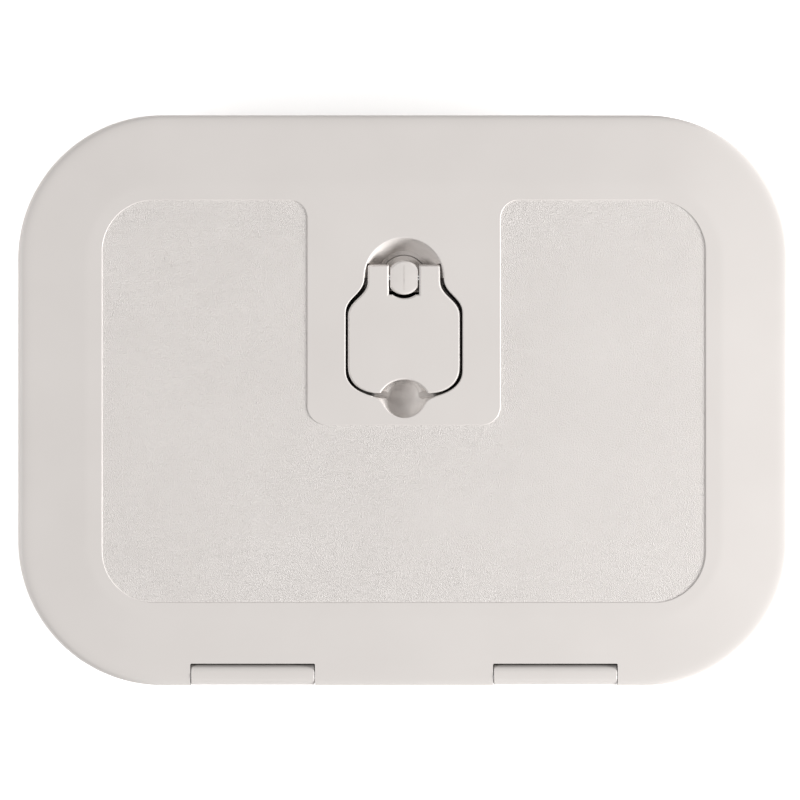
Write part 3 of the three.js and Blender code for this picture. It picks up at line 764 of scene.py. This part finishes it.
def paint_lid(lid):
    """The panel's floor is pebbled; the groove round the handle and the walls by the hinge knuckles get
    painted shade.
    """
    joint = grown(recess_outline(), 0.1)
    for face in lid.data.polygons:
        x, y, z = face.center / MM
        on_floor = abs(z - (TOP - PANEL_DEPTH)) < 0.004 and face.normal.z > 0.999
        in_bowl = math.hypot(x, y - SPINDLE_Y) < BOWL + 0.2 or math.hypot(x, y - DIMPLE_Y) < DIMPLE + 3.8
        on_step = abs(z - POCKET_FLOOR) < 0.01 and face.normal.z > 0.9
        in_joint = POCKET_FLOOR - 1 < z < TOP - 1.2 and not (in_bowl or on_step) and inside(joint, x, y)
        # Painted shade goes on the groove round the handle and on the notch walls by the knuckles.
        painted_shade_here = in_joint or in_notches(x, y, z)
        face.material_index = 1 if on_floor else 2 if painted_shade_here else 0


def inside(outline, x, y):
    """Counts how often a line from the point crosses the outline."""
    crossings = 0
    for (x0, y0), (x1, y1) in zip(outline, outline[1:] + outline[:1]):
        if (y0 > y) != (y1 > y) and x < x0 + (y - y0) / (y1 - y0) * (x1 - x0):
            crossings += 1
    return crossings % 2 == 1


def in_notches(x, y, z):
    """The walls that face a knuckle, from a little below the surface."""
    across = abs(abs(x) - KNUCKLE_X)
    return across < NOTCH_HALF + 0.05 and HINGE_Y - 4 < y < HINGE_Y + NOTCH_DEPTH + 0.05 and z < TOP - 1.6


lid = build_lid()
paint_lid(lid)
# The lid's third finish is the painted shade of its gaps.
finish_piece(lid, "lid", plastic, non_slip, painted_shade)

# %% [markdown]
# ## The frame
#
# The frame is one band of moulded plastic: a flange on the deck, a coaming through it, and a sealing edge
# that stands up inside the lid. A closed profile that follows the lid's outline gives it in one go, and
# the screw holes are turned cutters.

# %% Frame
DECK = 30.0
FLANGE = 33.5  # top of the flange
SEAL_EDGE = 38.7
COAMING = (31, 34)  # insets of its two sides
FIXING_INSET = 15.5
FIXING_PITCH = 76
KNUCKLE_SCREW_STEP = 18
KEEPER_SCREWS = (-10, 10)
KEEPER_SCREW_Z = 14
KEEPER_BORE = 2.2


def build_frame():
    rim, (outer, inner) = 0.6, COAMING
    corners = [(rim, DECK), (outer, DECK), (outer, 0), (inner, 0)]
    corners += [(inner, SEAL_EDGE), (outer, SEAL_EDGE), (outer, FLANGE), (rim, FLANGE)]
    rounds = [0.3, 0.8, 0.5, 0.5, 0.9, 0.9, 1.2, 0.9]
    ring = band("frame_moulding", filleted(corners, rounds, 4))
    far_x, far_y = HALF_X - FIXING_INSET, HALF_Y - FIXING_INSET
    places = [(step * FIXING_PITCH, side * far_y) for step in (-1.5, -0.5, 0.5, 1.5) for side in (-1, 1)]
    places += [(side * far_x, step * FIXING_PITCH) for step in (-0.5, 0.5) for side in (-1, 1)]
    sink = [(0, 25), (2.6, 25), (2.6, FLANGE - 2.4), (5, FLANGE), (5.15, FLANGE + 2), (0, FLANGE + 2)]
    holes = [turned("fixing_hole", x, y, sink, 32) for x, y in places]
    under = [(0, DECK - 3), (3.9, DECK - 3), (3.9, DECK), (2, DECK + 1.9), (2, FLANGE + 2), (0, FLANGE + 2)]
    for side in (-1, 1):
        for step in (-KNUCKLE_SCREW_STEP, KNUCKLE_SCREW_STEP):
            holes.append(turned("knuckle_hole", side * (KNUCKLE_X + step), HINGE_Y, under, 32))
    start, end = 26 - HALF_Y, 36 - HALF_Y
    bore = [(0, start), (KEEPER_BORE, start), (KEEPER_BORE, end), (0, end)]
    holes += [turned("keeper_hole", x, KEEPER_SCREW_Z, bore, 24, along_y) for x in KEEPER_SCREWS]
    return cut(ring, *holes)


finish_piece(build_frame(), "frame", plastic)


# %% [markdown]
# ## Hinges
#
# Each knuckle is a barrel on a stem, drawn from its end and raised along the hinge. It fills the notch in
# the lid's edge, so only a hairline shows round it. A steel pin runs through it into the lid's ears and a
# clip keeps it there.

# %% Knuckles, pins and clips
BARREL = 5.0  # radius
SQUARENESS = 2.45  # 2 would be a round barrel; a little more fills the lid's notch better
PIN = 2.0  # radius


def build_knuckle(side):
    foot = FLANGE + 0.3 - HINGE_Z
    barrel = []
    for y, z in arc(0, 0, 1, -22, 202, 48):
        swell = BARREL / (abs(y) ** SQUARENESS + abs(z) ** SQUARENESS) ** (1 / SQUARENESS)
        barrel.append((y * swell, z * swell))
    stem = [(-4.6, foot + 0.6), (-4.0, foot), (4.0, foot), (4.6, foot + 0.6)]
    outline = [(HINGE_Y + y, HINGE_Z + z) for y, z in stem + barrel]
    low, high = extent(f"hinge_knuckle_{side}")
    ends = edges_rounded(low.x - 0.15, high.x + 0.15, 0.3, 0.3, 4)
    knuckle = prism(f"knuckle_{side}", outline, ends, along_x)
    middle = (low.x + high.x) / 2
    pilot = [(0, DECK), (2, DECK), (2, HINGE_Z - 3.6), (0, HINGE_Z - 3.6)]
    steps = (-KNUCKLE_SCREW_STEP, KNUCKLE_SCREW_STEP)
    pilots = [turned("pilot", middle + step, HINGE_Y, pilot, 24) for step in steps]
    return cut(knuckle, rod("bore", HINGE_Y, HINGE_Z, PIN_BORE, low.x - 2, high.x + 2), *pilots)


def build_pin(side):
    low, high = extent(f"hinge_pin_{side}")
    clip_low, clip_high = extent(f"pin_clip_{side}")
    pin = rod(f"pin_{side}", HINGE_Y, HINGE_Z, PIN, low.x, high.x, 40, 0.35)
    start, end, depth = clip_low.x - 0.3, clip_high.x + 0.3, 0.6
    groove = [(PIN - depth, start), (2 * PIN, start), (2 * PIN, end), (PIN - depth, end)]
    return cut(pin, turned("groove", HINGE_Y, HINGE_Z, groove, 40, along_x, closed=True))


def build_clip(side):
    """An open ring: an outer arc, and four teeth inside it that grip the pin's groove."""
    low, high = extent(f"pin_clip_{side}")
    outer = arc(0, 0, 3.2, -60, 240, 40)
    tooth, gap = 1.75, 2.3
    inner = []
    for start, end, radius in ((240, 205, tooth), (200, 150, gap), (140, 120, tooth), (115, 65, gap)):
        inner += arc(0, 0, radius, start, end, 6)
    inner += arc(0, 0, tooth, 60, 40, 4) + arc(0, 0, gap, 30, -20, 6) + arc(0, 0, tooth, -25, -60, 6)
    outline = [(HINGE_Y + y, HINGE_Z + z) for y, z in clean(outer + inner)]
    return prism(f"clip_{side}", outline, edges_rounded(low.x, high.x, 0.12, 0.12, 2), along_x)


for side in ("left", "right"):
    finish_piece(build_knuckle(side), f"hinge_knuckle_{side}", plastic)
    finish_piece(build_pin(side), f"hinge_pin_{side}", steel_across)
    finish_piece(build_clip(side), f"pin_clip_{side}", steel_turned)


# %% [markdown]
# ## The handle and the latch head
#
# The handle is a flap with a fork that straddles the head's lug, and its far end is hollowed round the
# finger dimple. Its top edges have a small even radius. Below, it is cored out between ribs, as such
# mouldings are, which shows when it is lifted.

# %% Handle
CROSS_PIN = 1.6  # radius
CROSS_PIN_BORE = 1.9
SWEEP = 6.45  # the fork's end is rounded to this radius about the cross pin, so that it can turn
WEB = 1.8  # thickness of the ribs between the cores


def build_handle():
    low, high = extent("handle")
    handle = prism("handle_moulding", handle_outline(), edges_rounded(low.z, high.z, 0.5, 0.95, 5))
    core = mirrored(
        [(0, 13.5), (10, 13.5), *bezier((13, 8.5), (20, 8), (24.4, 10), (24.4, 17)), (24.4, 40)]
        + bezier((24.4, 41), (24.4, 45.5), (20, 46.5), (17, 46.5))
        + [(0, 46.5)]
    )
    hollow = prism("core", core, [(0, low.z - 2), (0, low.z + 3.2), (-0.8, low.z + 3.9)])
    for x in (-13, 0, 13):
        cut(hollow, slab("web", x - WEB / 2, x + WEB / 2, 0, 60, low.z - 3, low.z + 6, 0.1))
    cut(hollow, slab("web", -40, 40, 30 - WEB / 2, 30 + WEB / 2, low.z - 3, low.z + 6, 0.1))
    cut(handle, hollow)
    sweep = slab("beyond_sweep", -30, 30, SPINDLE_Y + 2.5, SPINDLE_Y + 12, low.z - 2, high.z + 2, 0.1)
    cut(sweep, rod("sweep", SPINDLE_Y, LIFT_Z, SWEEP, -31, 31, 96))
    cut(handle, sweep)
    return cut(handle, rod("pin_hole", SPINDLE_Y, LIFT_Z, CROSS_PIN_BORE, -30, 30))


finish_piece(build_handle(), "handle", plastic)
pin_low, pin_high = extent("handle_pin")
cross_pin = rod("cross_pin", SPINDLE_Y, LIFT_Z, CROSS_PIN, pin_low.x, pin_high.x, 40, 0.3)
finish_piece(cross_pin, "handle_pin", steel_across)


# %% Latch head
SPINDLE_BORE = 4.3  # radius of the holes that the spindle goes into


def build_head():
    disc_top, lug_top, lug, flat = head_low.z + 2.0, head_high.z, 8.25, 6.7
    profile = [(0, disc_top - 0.5), (lug, disc_top - 0.5), (lug, lug_top - 1.0)]
    profile += [(lug - 0.15, lug_top - 0.55), (lug - 0.55, lug_top - 0.2)]
    profile += [(lug - 1.2, lug_top - 0.05), (0, lug_top)]
    head = turned("head_moulding", 0, SPINDLE_Y, profile, 96)
    near, far = SPINDLE_Y - 12, SPINDLE_Y + 12
    flats = [(-flat, near), (flat, near), (flat, far), (-flat, far)]
    combine(head, prism("flats", flats, edges_rounded(30, lug_top + 0.01, 0, 0.45, 5)), "INTERSECT")
    disc = [(0, head_low.z), (10.9, head_low.z), (11, disc_top - 0.3), (10.7, disc_top), (0, disc_top)]
    weld(head, turned("disc", 0, SPINDLE_Y, disc, 96))
    seam = slab("seam", -0.14, 0.14, SPINDLE_Y - 6, SPINDLE_Y + 6, lug_top - 0.12, lug_top + 1, 0.02)
    hole = [(0, 30), (SPINDLE_BORE, 30), (SPINDLE_BORE, 40.5), (0, 40.5)]
    socket = turned("socket", 0, SPINDLE_Y, hole)
    return cut(head, seam, socket, rod("pin_hole", SPINDLE_Y, LIFT_Z, CROSS_PIN_BORE, -30, 30))


finish_piece(build_head(), "latch_head", plastic)

# %% [markdown]
# ## Threads and seal with Geometry Nodes
#
# A thread repeats by rule, so a node tree makes it: a spiral curve is swept with a small four-sided
# profile and joined to the plain shank. The same idea, a profile swept along a path, gives the seal: the
# path is the hatch's outline as loose edges.

# %% Node tree: a thread round a shank
NUMBER = "NodeSocketFloat"
POINT = "NodeSocketVector"
FINISH = "NodeSocketMaterial"
RIDGE = 0.42  # radius of the ridge, as a share of the pitch


def node_group(name, inputs):
    tree = bpy.data.node_groups.new(name, "GeometryNodeTree")
    tree.interface.new_socket("Geometry", in_out="INPUT", socket_type="NodeSocketGeometry")
    tree.interface.new_socket("Geometry", in_out="OUTPUT", socket_type="NodeSocketGeometry")
    for label, kind in inputs:
        tree.interface.new_socket(label, in_out="INPUT", socket_type=kind)
    return tree, tree.nodes.new("NodeGroupInput"), tree.nodes.new("NodeGroupOutput")


def thread_tree():
    inputs = [("Radius", NUMBER), ("Pitch", NUMBER), ("Length", NUMBER), ("Base", POINT), ("Finish", FINISH)]
    tree, given, result = node_group("thread", inputs)
    nodes, links = tree.nodes, tree.links
    turns = nodes.new("ShaderNodeMath")
    turns.operation = "DIVIDE"
    links.new(given.outputs["Length"], turns.inputs[0])
    links.new(given.outputs["Pitch"], turns.inputs[1])
    spiral = nodes.new("GeometryNodeCurveSpiral")
    spiral.inputs["Resolution"].default_value = 28
    links.new(turns.outputs[0], spiral.inputs["Rotations"])
    links.new(given.outputs["Radius"], spiral.inputs["Start Radius"])
    links.new(given.outputs["Radius"], spiral.inputs["End Radius"])
    links.new(given.outputs["Length"], spiral.inputs["Height"])
    ridge = nodes.new("GeometryNodeCurvePrimitiveCircle")
    ridge.inputs["Resolution"].default_value = 4
    width = nodes.new("ShaderNodeMath")
    width.operation = "MULTIPLY"
    width.inputs[1].default_value = RIDGE
    links.new(given.outputs["Pitch"], width.inputs[0])
    links.new(width.outputs[0], ridge.inputs["Radius"])
    sweep = nodes.new("GeometryNodeCurveToMesh")
    sweep.inputs["Fill Caps"].default_value = True
    links.new(spiral.outputs["Curve"], sweep.inputs["Curve"])
    links.new(ridge.outputs["Curve"], sweep.inputs["Profile Curve"])
    place = nodes.new("GeometryNodeTransform")
    links.new(sweep.outputs["Mesh"], place.inputs["Geometry"])
    links.new(given.outputs["Base"], place.inputs["Translation"])
    both = nodes.new("GeometryNodeJoinGeometry")
    links.new(given.outputs["Geometry"], both.inputs["Geometry"])
    links.new(place.outputs["Geometry"], both.inputs["Geometry"])
    realize = nodes.new("GeometryNodeRealizeInstances")
    links.new(both.outputs["Geometry"], realize.inputs["Geometry"])
    paint = nodes.new("GeometryNodeSetMaterial")
    links.new(realize.outputs["Geometry"], paint.inputs["Geometry"])
    links.new(given.outputs["Finish"], paint.inputs["Material"])
    links.new(paint.outputs["Geometry"], result.inputs["Geometry"])
    return tree


THREAD = thread_tree()


def with_nodes(obj, tree, **values):
    """Runs a node tree on the object and keeps the result as plain mesh."""
    modifier = obj.modifiers.new(tree.name, "NODES")
    modifier.node_group = tree
    for item in tree.interface.items_tree:
        if item.in_out == "INPUT" and item.name in values:
            modifier[item.identifier] = values[item.name]
    return baked(obj)


# %% Screws
def recess_cross(x, y, z, reach, depth, turn=upright, down=False):
    """A cross-shaped driver socket, tapered inwards, for a screw head at that height."""
    arm = 0.55
    corner = [(reach, -arm), (reach, arm), (arm, arm), (arm, reach)]
    outline = []
    for quarter in range(4):
        cos, sin = math.cos(math.pi / 2 * quarter), math.sin(math.pi / 2 * quarter)
        outline += [(px * cos - py * sin, px * sin + py * cos) for px, py in corner]
    outline = [(x + px, y + py) for px, py in clean(outline)]
    deep, shallow = (z + depth, z - 0.5) if down else (z - depth, z + 0.5)
    ends = sorted([(-0.22, deep), (0, shallow)], key=lambda item: item[1])
    return prism("driver_socket", outline, ends, turn)


def build_knuckle_screw(node):
    low, high = extent(node)
    x, core = (low.x + high.x) / 2, 1.45
    profile = [(0, low.z), (3.45, low.z), (3.6, low.z + 0.15), (1.55, low.z + 2.1)]
    profile += [(core, high.z - 1), (0, high.z)]
    screw = turned(node + "_turned", x, HINGE_Y, profile, 48)
    cut(screw, recess_cross(x, HINGE_Y, low.z, 1.9, 1.3, down=True))
    base = Vector((x, HINGE_Y, low.z + 2.6)) * MM
    sizes = {"Radius": core * MM, "Pitch": 0.8 * MM, "Length": 4.6 * MM}
    return with_nodes(screw, THREAD, **sizes, Base=base, Finish=steel_turned)


def build_keeper_screw(node):
    low, high = extent(node)
    x, z = (low.x + high.x) / 2, (low.z + high.z) / 2
    tip, head = -high.y, -low.y
    dome = [(3.8, head - 1.2), (3.5, head - 0.55), (2.6, head - 0.12), (1.4, head), (0, head)]
    profile = [(0, tip), (1.0, tip + 0.6), (1.7, tip + 1.4), (1.7, head - 2), (3.8, head - 2)] + dome
    screw = turned(node + "_turned", x, z, profile, 48, along_y)
    return cut(screw, recess_cross(x, z, head, 2.0, 1.1, along_y))


for name in sorted(frame["nodes"]):
    if name.startswith("knuckle_screw"):
        finish_piece(build_knuckle_screw(name), name, steel_turned)
    elif name.startswith("keeper_screw"):
        finish_piece(build_keeper_screw(name), name, steel_turned)


# %% [markdown]
# ## Spindle, tongue and keeper
#
# Below the lid the spindle carries a flat steel tongue. The pieces on its axis are turned, the tongue and
# keeper are flat stock with broken edges, and the nut is a turned blank cut to six sides, so its corners
# are chamfered as a real nut's are.

# %% Bush, seal ring and shaft
def build_bush():
    low, high = extent("spindle_bush")
    bore, body, brim, step = SPINDLE_BORE, 6.7, 10, low.z + 1.7
    corners = [(bore, low.z), (brim, low.z), (brim, step), (body, step), (body, high.z), (bore, high.z)]
    section = filleted(corners, [0.3, 0.5, 0.3, 0, 0.3, 0.3], 3)
    return turned("bush", 0, SPINDLE_Y, section, 72, closed=True)


def build_seal_ring():
    low, high = extent("spindle_o_ring")
    outer = (high.x - low.x) / 2
    minor = (high.z - low.z) / 2 * 1.04
    section = arc(outer - minor, (low.z + high.z) / 2, minor, 0, 345, 23)
    return turned("seal_ring", 0, SPINDLE_Y, section, 72, closed=True)


def build_shaft():
    low, high = extent("spindle_shaft")
    thread, shank, collar = 3.6, 4, 6.5
    collar_low, collar_high = 23.5, 25.5
    profile = [(0, low.z), (thread - 0.7, low.z), (thread, low.z + 0.7), (thread, 20), (shank, 20.4)]
    profile += [(shank, collar_low), (collar - 0.3, collar_low), (collar, collar_low + 0.3)]
    profile += [(collar, collar_high - 0.3), (collar - 0.3, collar_high), (shank, collar_high)]
    profile += [(shank, high.z - 0.5), (shank - 0.5, high.z), (0, high.z)]
    shaft = turned("shaft", 0, SPINDLE_Y, profile, 64)
    base = Vector((0, SPINDLE_Y, low.z + 0.8)) * MM
    sizes = {"Radius": 3.55 * MM, "Pitch": 1.0 * MM, "Length": 7 * MM}
    return with_nodes(shaft, THREAD, **sizes, Base=base, Finish=steel_turned)


finish_piece(build_bush(), "spindle_bush", acetal)
finish_piece(build_seal_ring(), "spindle_o_ring", rubber)
finish_piece(build_shaft(), "spindle_shaft", steel_turned)


# %% Tongue, washer and nut
def build_tongue():
    low, high = extent("tongue")
    hub, tip = 10.0, 6.5
    tip_x = high.x - tip
    tilt = math.degrees(math.asin((hub - tip) / tip_x))
    outline = arc(tip_x, 0, tip, tilt - 90, 90 - tilt, 24) + arc(0, 0, hub, 90 - tilt, 270 + tilt, 48)
    outline = [(x, SPINDLE_Y + y) for x, y in clean(outline)]
    tongue = prism("tongue_plate", outline, edges_rounded(low.z, high.z, 0.45, 0.45, 3))
    ramp = [(high.x - 9, high.z + 0.01), (high.x + 1, high.z - 1.1), (high.x + 1, high.z + 1)]
    cut(tongue, prism("ramp", ramp, [(0, -SPINDLE_Y - 12), (0, -SPINDLE_Y + 12)], along_y))
    hole = [(0, 10), (SPINDLE_BORE, 10), (SPINDLE_BORE, 30), (0, 30)]
    return cut(tongue, turned("hole", 0, SPINDLE_Y, hole, 64))


def build_washer():
    low, high = extent("tongue_washer")
    bore, edge = SPINDLE_BORE, 8.5
    corners = [(bore, low.z), (edge, low.z), (edge, high.z), (bore, high.z)]
    return turned("washer", 0, SPINDLE_Y, filleted(corners, 0.25, 3), 72, closed=True)


def build_nut():
    low, high = extent("tongue_nut")
    face, chamfer, corner, blank = 6.3, 0.75, 7.5, 7.55
    profile = [(0, low.z), (face, low.z), (blank, low.z + chamfer)]
    profile += [(blank, high.z - chamfer), (face, high.z), (0, high.z)]
    nut = turned("nut", 0, SPINDLE_Y, profile, 96)
    hexagon = arc(0, SPINDLE_Y, corner, 30, 330, 5)
    combine(nut, prism("hexagon", hexagon, [(0, low.z - 1), (0, high.z + 1)]), "INTERSECT")
    bore = [(0, low.z - 1), (5.2, low.z - 1), (4.2, low.z + 0.7), (4.2, high.z + 1), (0, high.z + 1)]
    return cut(nut, turned("nut_bore", 0, SPINDLE_Y, bore, 48))


finish_piece(build_tongue(), "tongue", steel_across)
finish_piece(build_washer(), "tongue_washer", steel_turned)
finish_piece(build_nut(), "tongue_nut", steel_turned)


# %% Keeper
KEEPER_PLATE = 2.0


def build_keeper():
    low, high = extent("keeper")
    inner_y, inner_z = high.y - KEEPER_PLATE, high.z - KEEPER_PLATE
    corners = [(high.y, low.z), (high.y, high.z), (low.y, high.z)]
    corners += [(low.y, inner_z), (inner_y, inner_z), (inner_y, low.z)]
    section = filleted(corners, [0.4, 2.6, 0.4, 0.4, 0.8, 0.4], 5)
    keeper = prism("keeper_angle", section, edges_rounded(low.x, high.x, 0.35, 0.35, 3), along_x)
    start, end = -high.y - 2, -high.y + 6
    bore = [(0, start), (KEEPER_BORE, start), (KEEPER_BORE, end), (0, end)]
    return cut(keeper, *[turned("hole", x, KEEPER_SCREW_Z, bore, 40, along_y) for x in KEEPER_SCREWS])


finish_piece(build_keeper(), "keeper", steel_across)


# %% Node tree: the seal that follows the outline
SEAL_WIDTH = 7.4
SEAL_EDGE_RADIUS = 1.1


def sweep_tree():
    inputs = [("Width", NUMBER), ("Height", NUMBER), ("Finish", FINISH)]
    tree, given, result = node_group("swept_seal", inputs)
    nodes, links = tree.nodes, tree.links
    path = nodes.new("GeometryNodeMeshToCurve")
    links.new(given.outputs["Geometry"], path.inputs["Mesh"])
    body = nodes.new("GeometryNodeCurvePrimitiveQuadrilateral")
    links.new(given.outputs["Width"], body.inputs["Width"])
    links.new(given.outputs["Height"], body.inputs["Height"])
    soft = nodes.new("GeometryNodeFilletCurve")
    soft.mode = "POLY"
    soft.inputs["Count"].default_value = 4
    soft.inputs["Radius"].default_value = SEAL_EDGE_RADIUS * MM
    soft.inputs["Limit Radius"].default_value = True
    links.new(body.outputs["Curve"], soft.inputs["Curve"])
    sweep = nodes.new("GeometryNodeCurveToMesh")
    links.new(path.outputs["Curve"], sweep.inputs["Curve"])
    links.new(soft.outputs["Curve"], sweep.inputs["Profile Curve"])
    realize = nodes.new("GeometryNodeRealizeInstances")
    links.new(sweep.outputs["Mesh"], realize.inputs["Geometry"])
    paint = nodes.new("GeometryNodeSetMaterial")
    links.new(realize.outputs["Geometry"], paint.inputs["Geometry"])
    links.new(given.outputs["Finish"], paint.inputs["Material"])
    links.new(paint.outputs["Geometry"], result.inputs["Geometry"])
    return tree


def build_gasket():
    low, high = extent("lid_gasket")
    line = lid_outline(HALF_X - high.x + SEAL_WIDTH / 2, 24)
    z = (low.z + high.z) / 2
    mesh = bpy.data.meshes.new("seal_path")
    edges = [(i, (i + 1) % len(line)) for i in range(len(line))]
    mesh.from_pydata([Vector((x, y, z)) * MM for x, y in line], edges, [])
    seal = bpy.data.objects.new("lid_seal", mesh)
    bpy.context.scene.collection.objects.link(seal)
    with_nodes(seal, sweep_tree(), Width=SEAL_WIDTH * MM, Height=(high.z - low.z) * MM, Finish=rubber)
    return mended(seal)


finish_piece(build_gasket(), "lid_gasket", rubber)

# %% [markdown]
# ## Camera, floor and light
#
# The hatch is seen straight from above through a long lens, so its outline stays true. A low soft lamp on
# the right rakes across the lid and models its edges and grain. Three weak lamps and a white surround
# fill the rest.

# %% Camera
SENSOR_WIDTH = 36.0
VIEW_WIDTH = 388.3
VIEW_CENTRE = (-1.94, 0.1)
DISTANCE = 4000.0
camera_data = bpy.data.cameras.new("camera")
camera_data.lens = SENSOR_WIDTH * DISTANCE / VIEW_WIDTH
camera_data.clip_end = 50
camera = bpy.data.objects.new("camera", camera_data)
camera.location = Vector((*VIEW_CENTRE, DISTANCE + TOP)) * MM
bpy.context.scene.collection.objects.link(camera)
bpy.context.scene.camera = camera


# %% Floor
GLOW = 0.45
HALF_FLOOR = 4000


def pale_floor():
    material, nodes, links, shader, where = new_finish("white_floor")
    tone = tones(nodes, links, noise(nodes, links, where, 3, 2), (0.90, 0.90, 0.90), (0.92, 0.92, 0.92))
    links.new(tone, shader.inputs["Base Color"])
    shader.inputs["Roughness"].default_value = 0.9
    shader.inputs["Emission Color"].default_value = (1, 1, 1, 1)
    shader.inputs["Emission Strength"].default_value = GLOW
    return material


floor = slab("floor", -HALF_FLOOR, HALF_FLOOR, -HALF_FLOOR, HALF_FLOOR, -12, -0.2, 10)
floor.data.materials.clear()
floor.data.materials.append(pale_floor())


# %% Light
LAMP_SIZE = 0.5
SURROUND = 0.19


def soft_lamp(name, place, power):
    data = bpy.data.lights.new(name, "AREA")
    data.shape = "DISK"
    data.size = LAMP_SIZE
    data.energy = power
    lamp = bpy.data.objects.new(name, data)
    lamp.location = place
    lamp.rotation_mode = "QUATERNION"
    lamp.rotation_quaternion = (-Vector(place)).to_track_quat("-Z", "Y")
    bpy.context.scene.collection.objects.link(lamp)


soft_lamp("key", (1.5, -0.3, 0.45), 44)
soft_lamp("fill", (-1.2, 0, 1.0), 9.9)
soft_lamp("hinge_side", (0, -1.2, 1.0), 2.4)
soft_lamp("far_side", (0, 1.2, 1.0), 2.9)
world = bpy.data.worlds.new("studio")
world.use_nodes = True
world.node_tree.nodes["Background"].inputs["Color"].default_value = (1, 1, 1, 1)
world.node_tree.nodes["Background"].inputs["Strength"].default_value = SURROUND
bpy.context.scene.world = world
bpy.context.scene.view_settings.view_transform = "Standard"
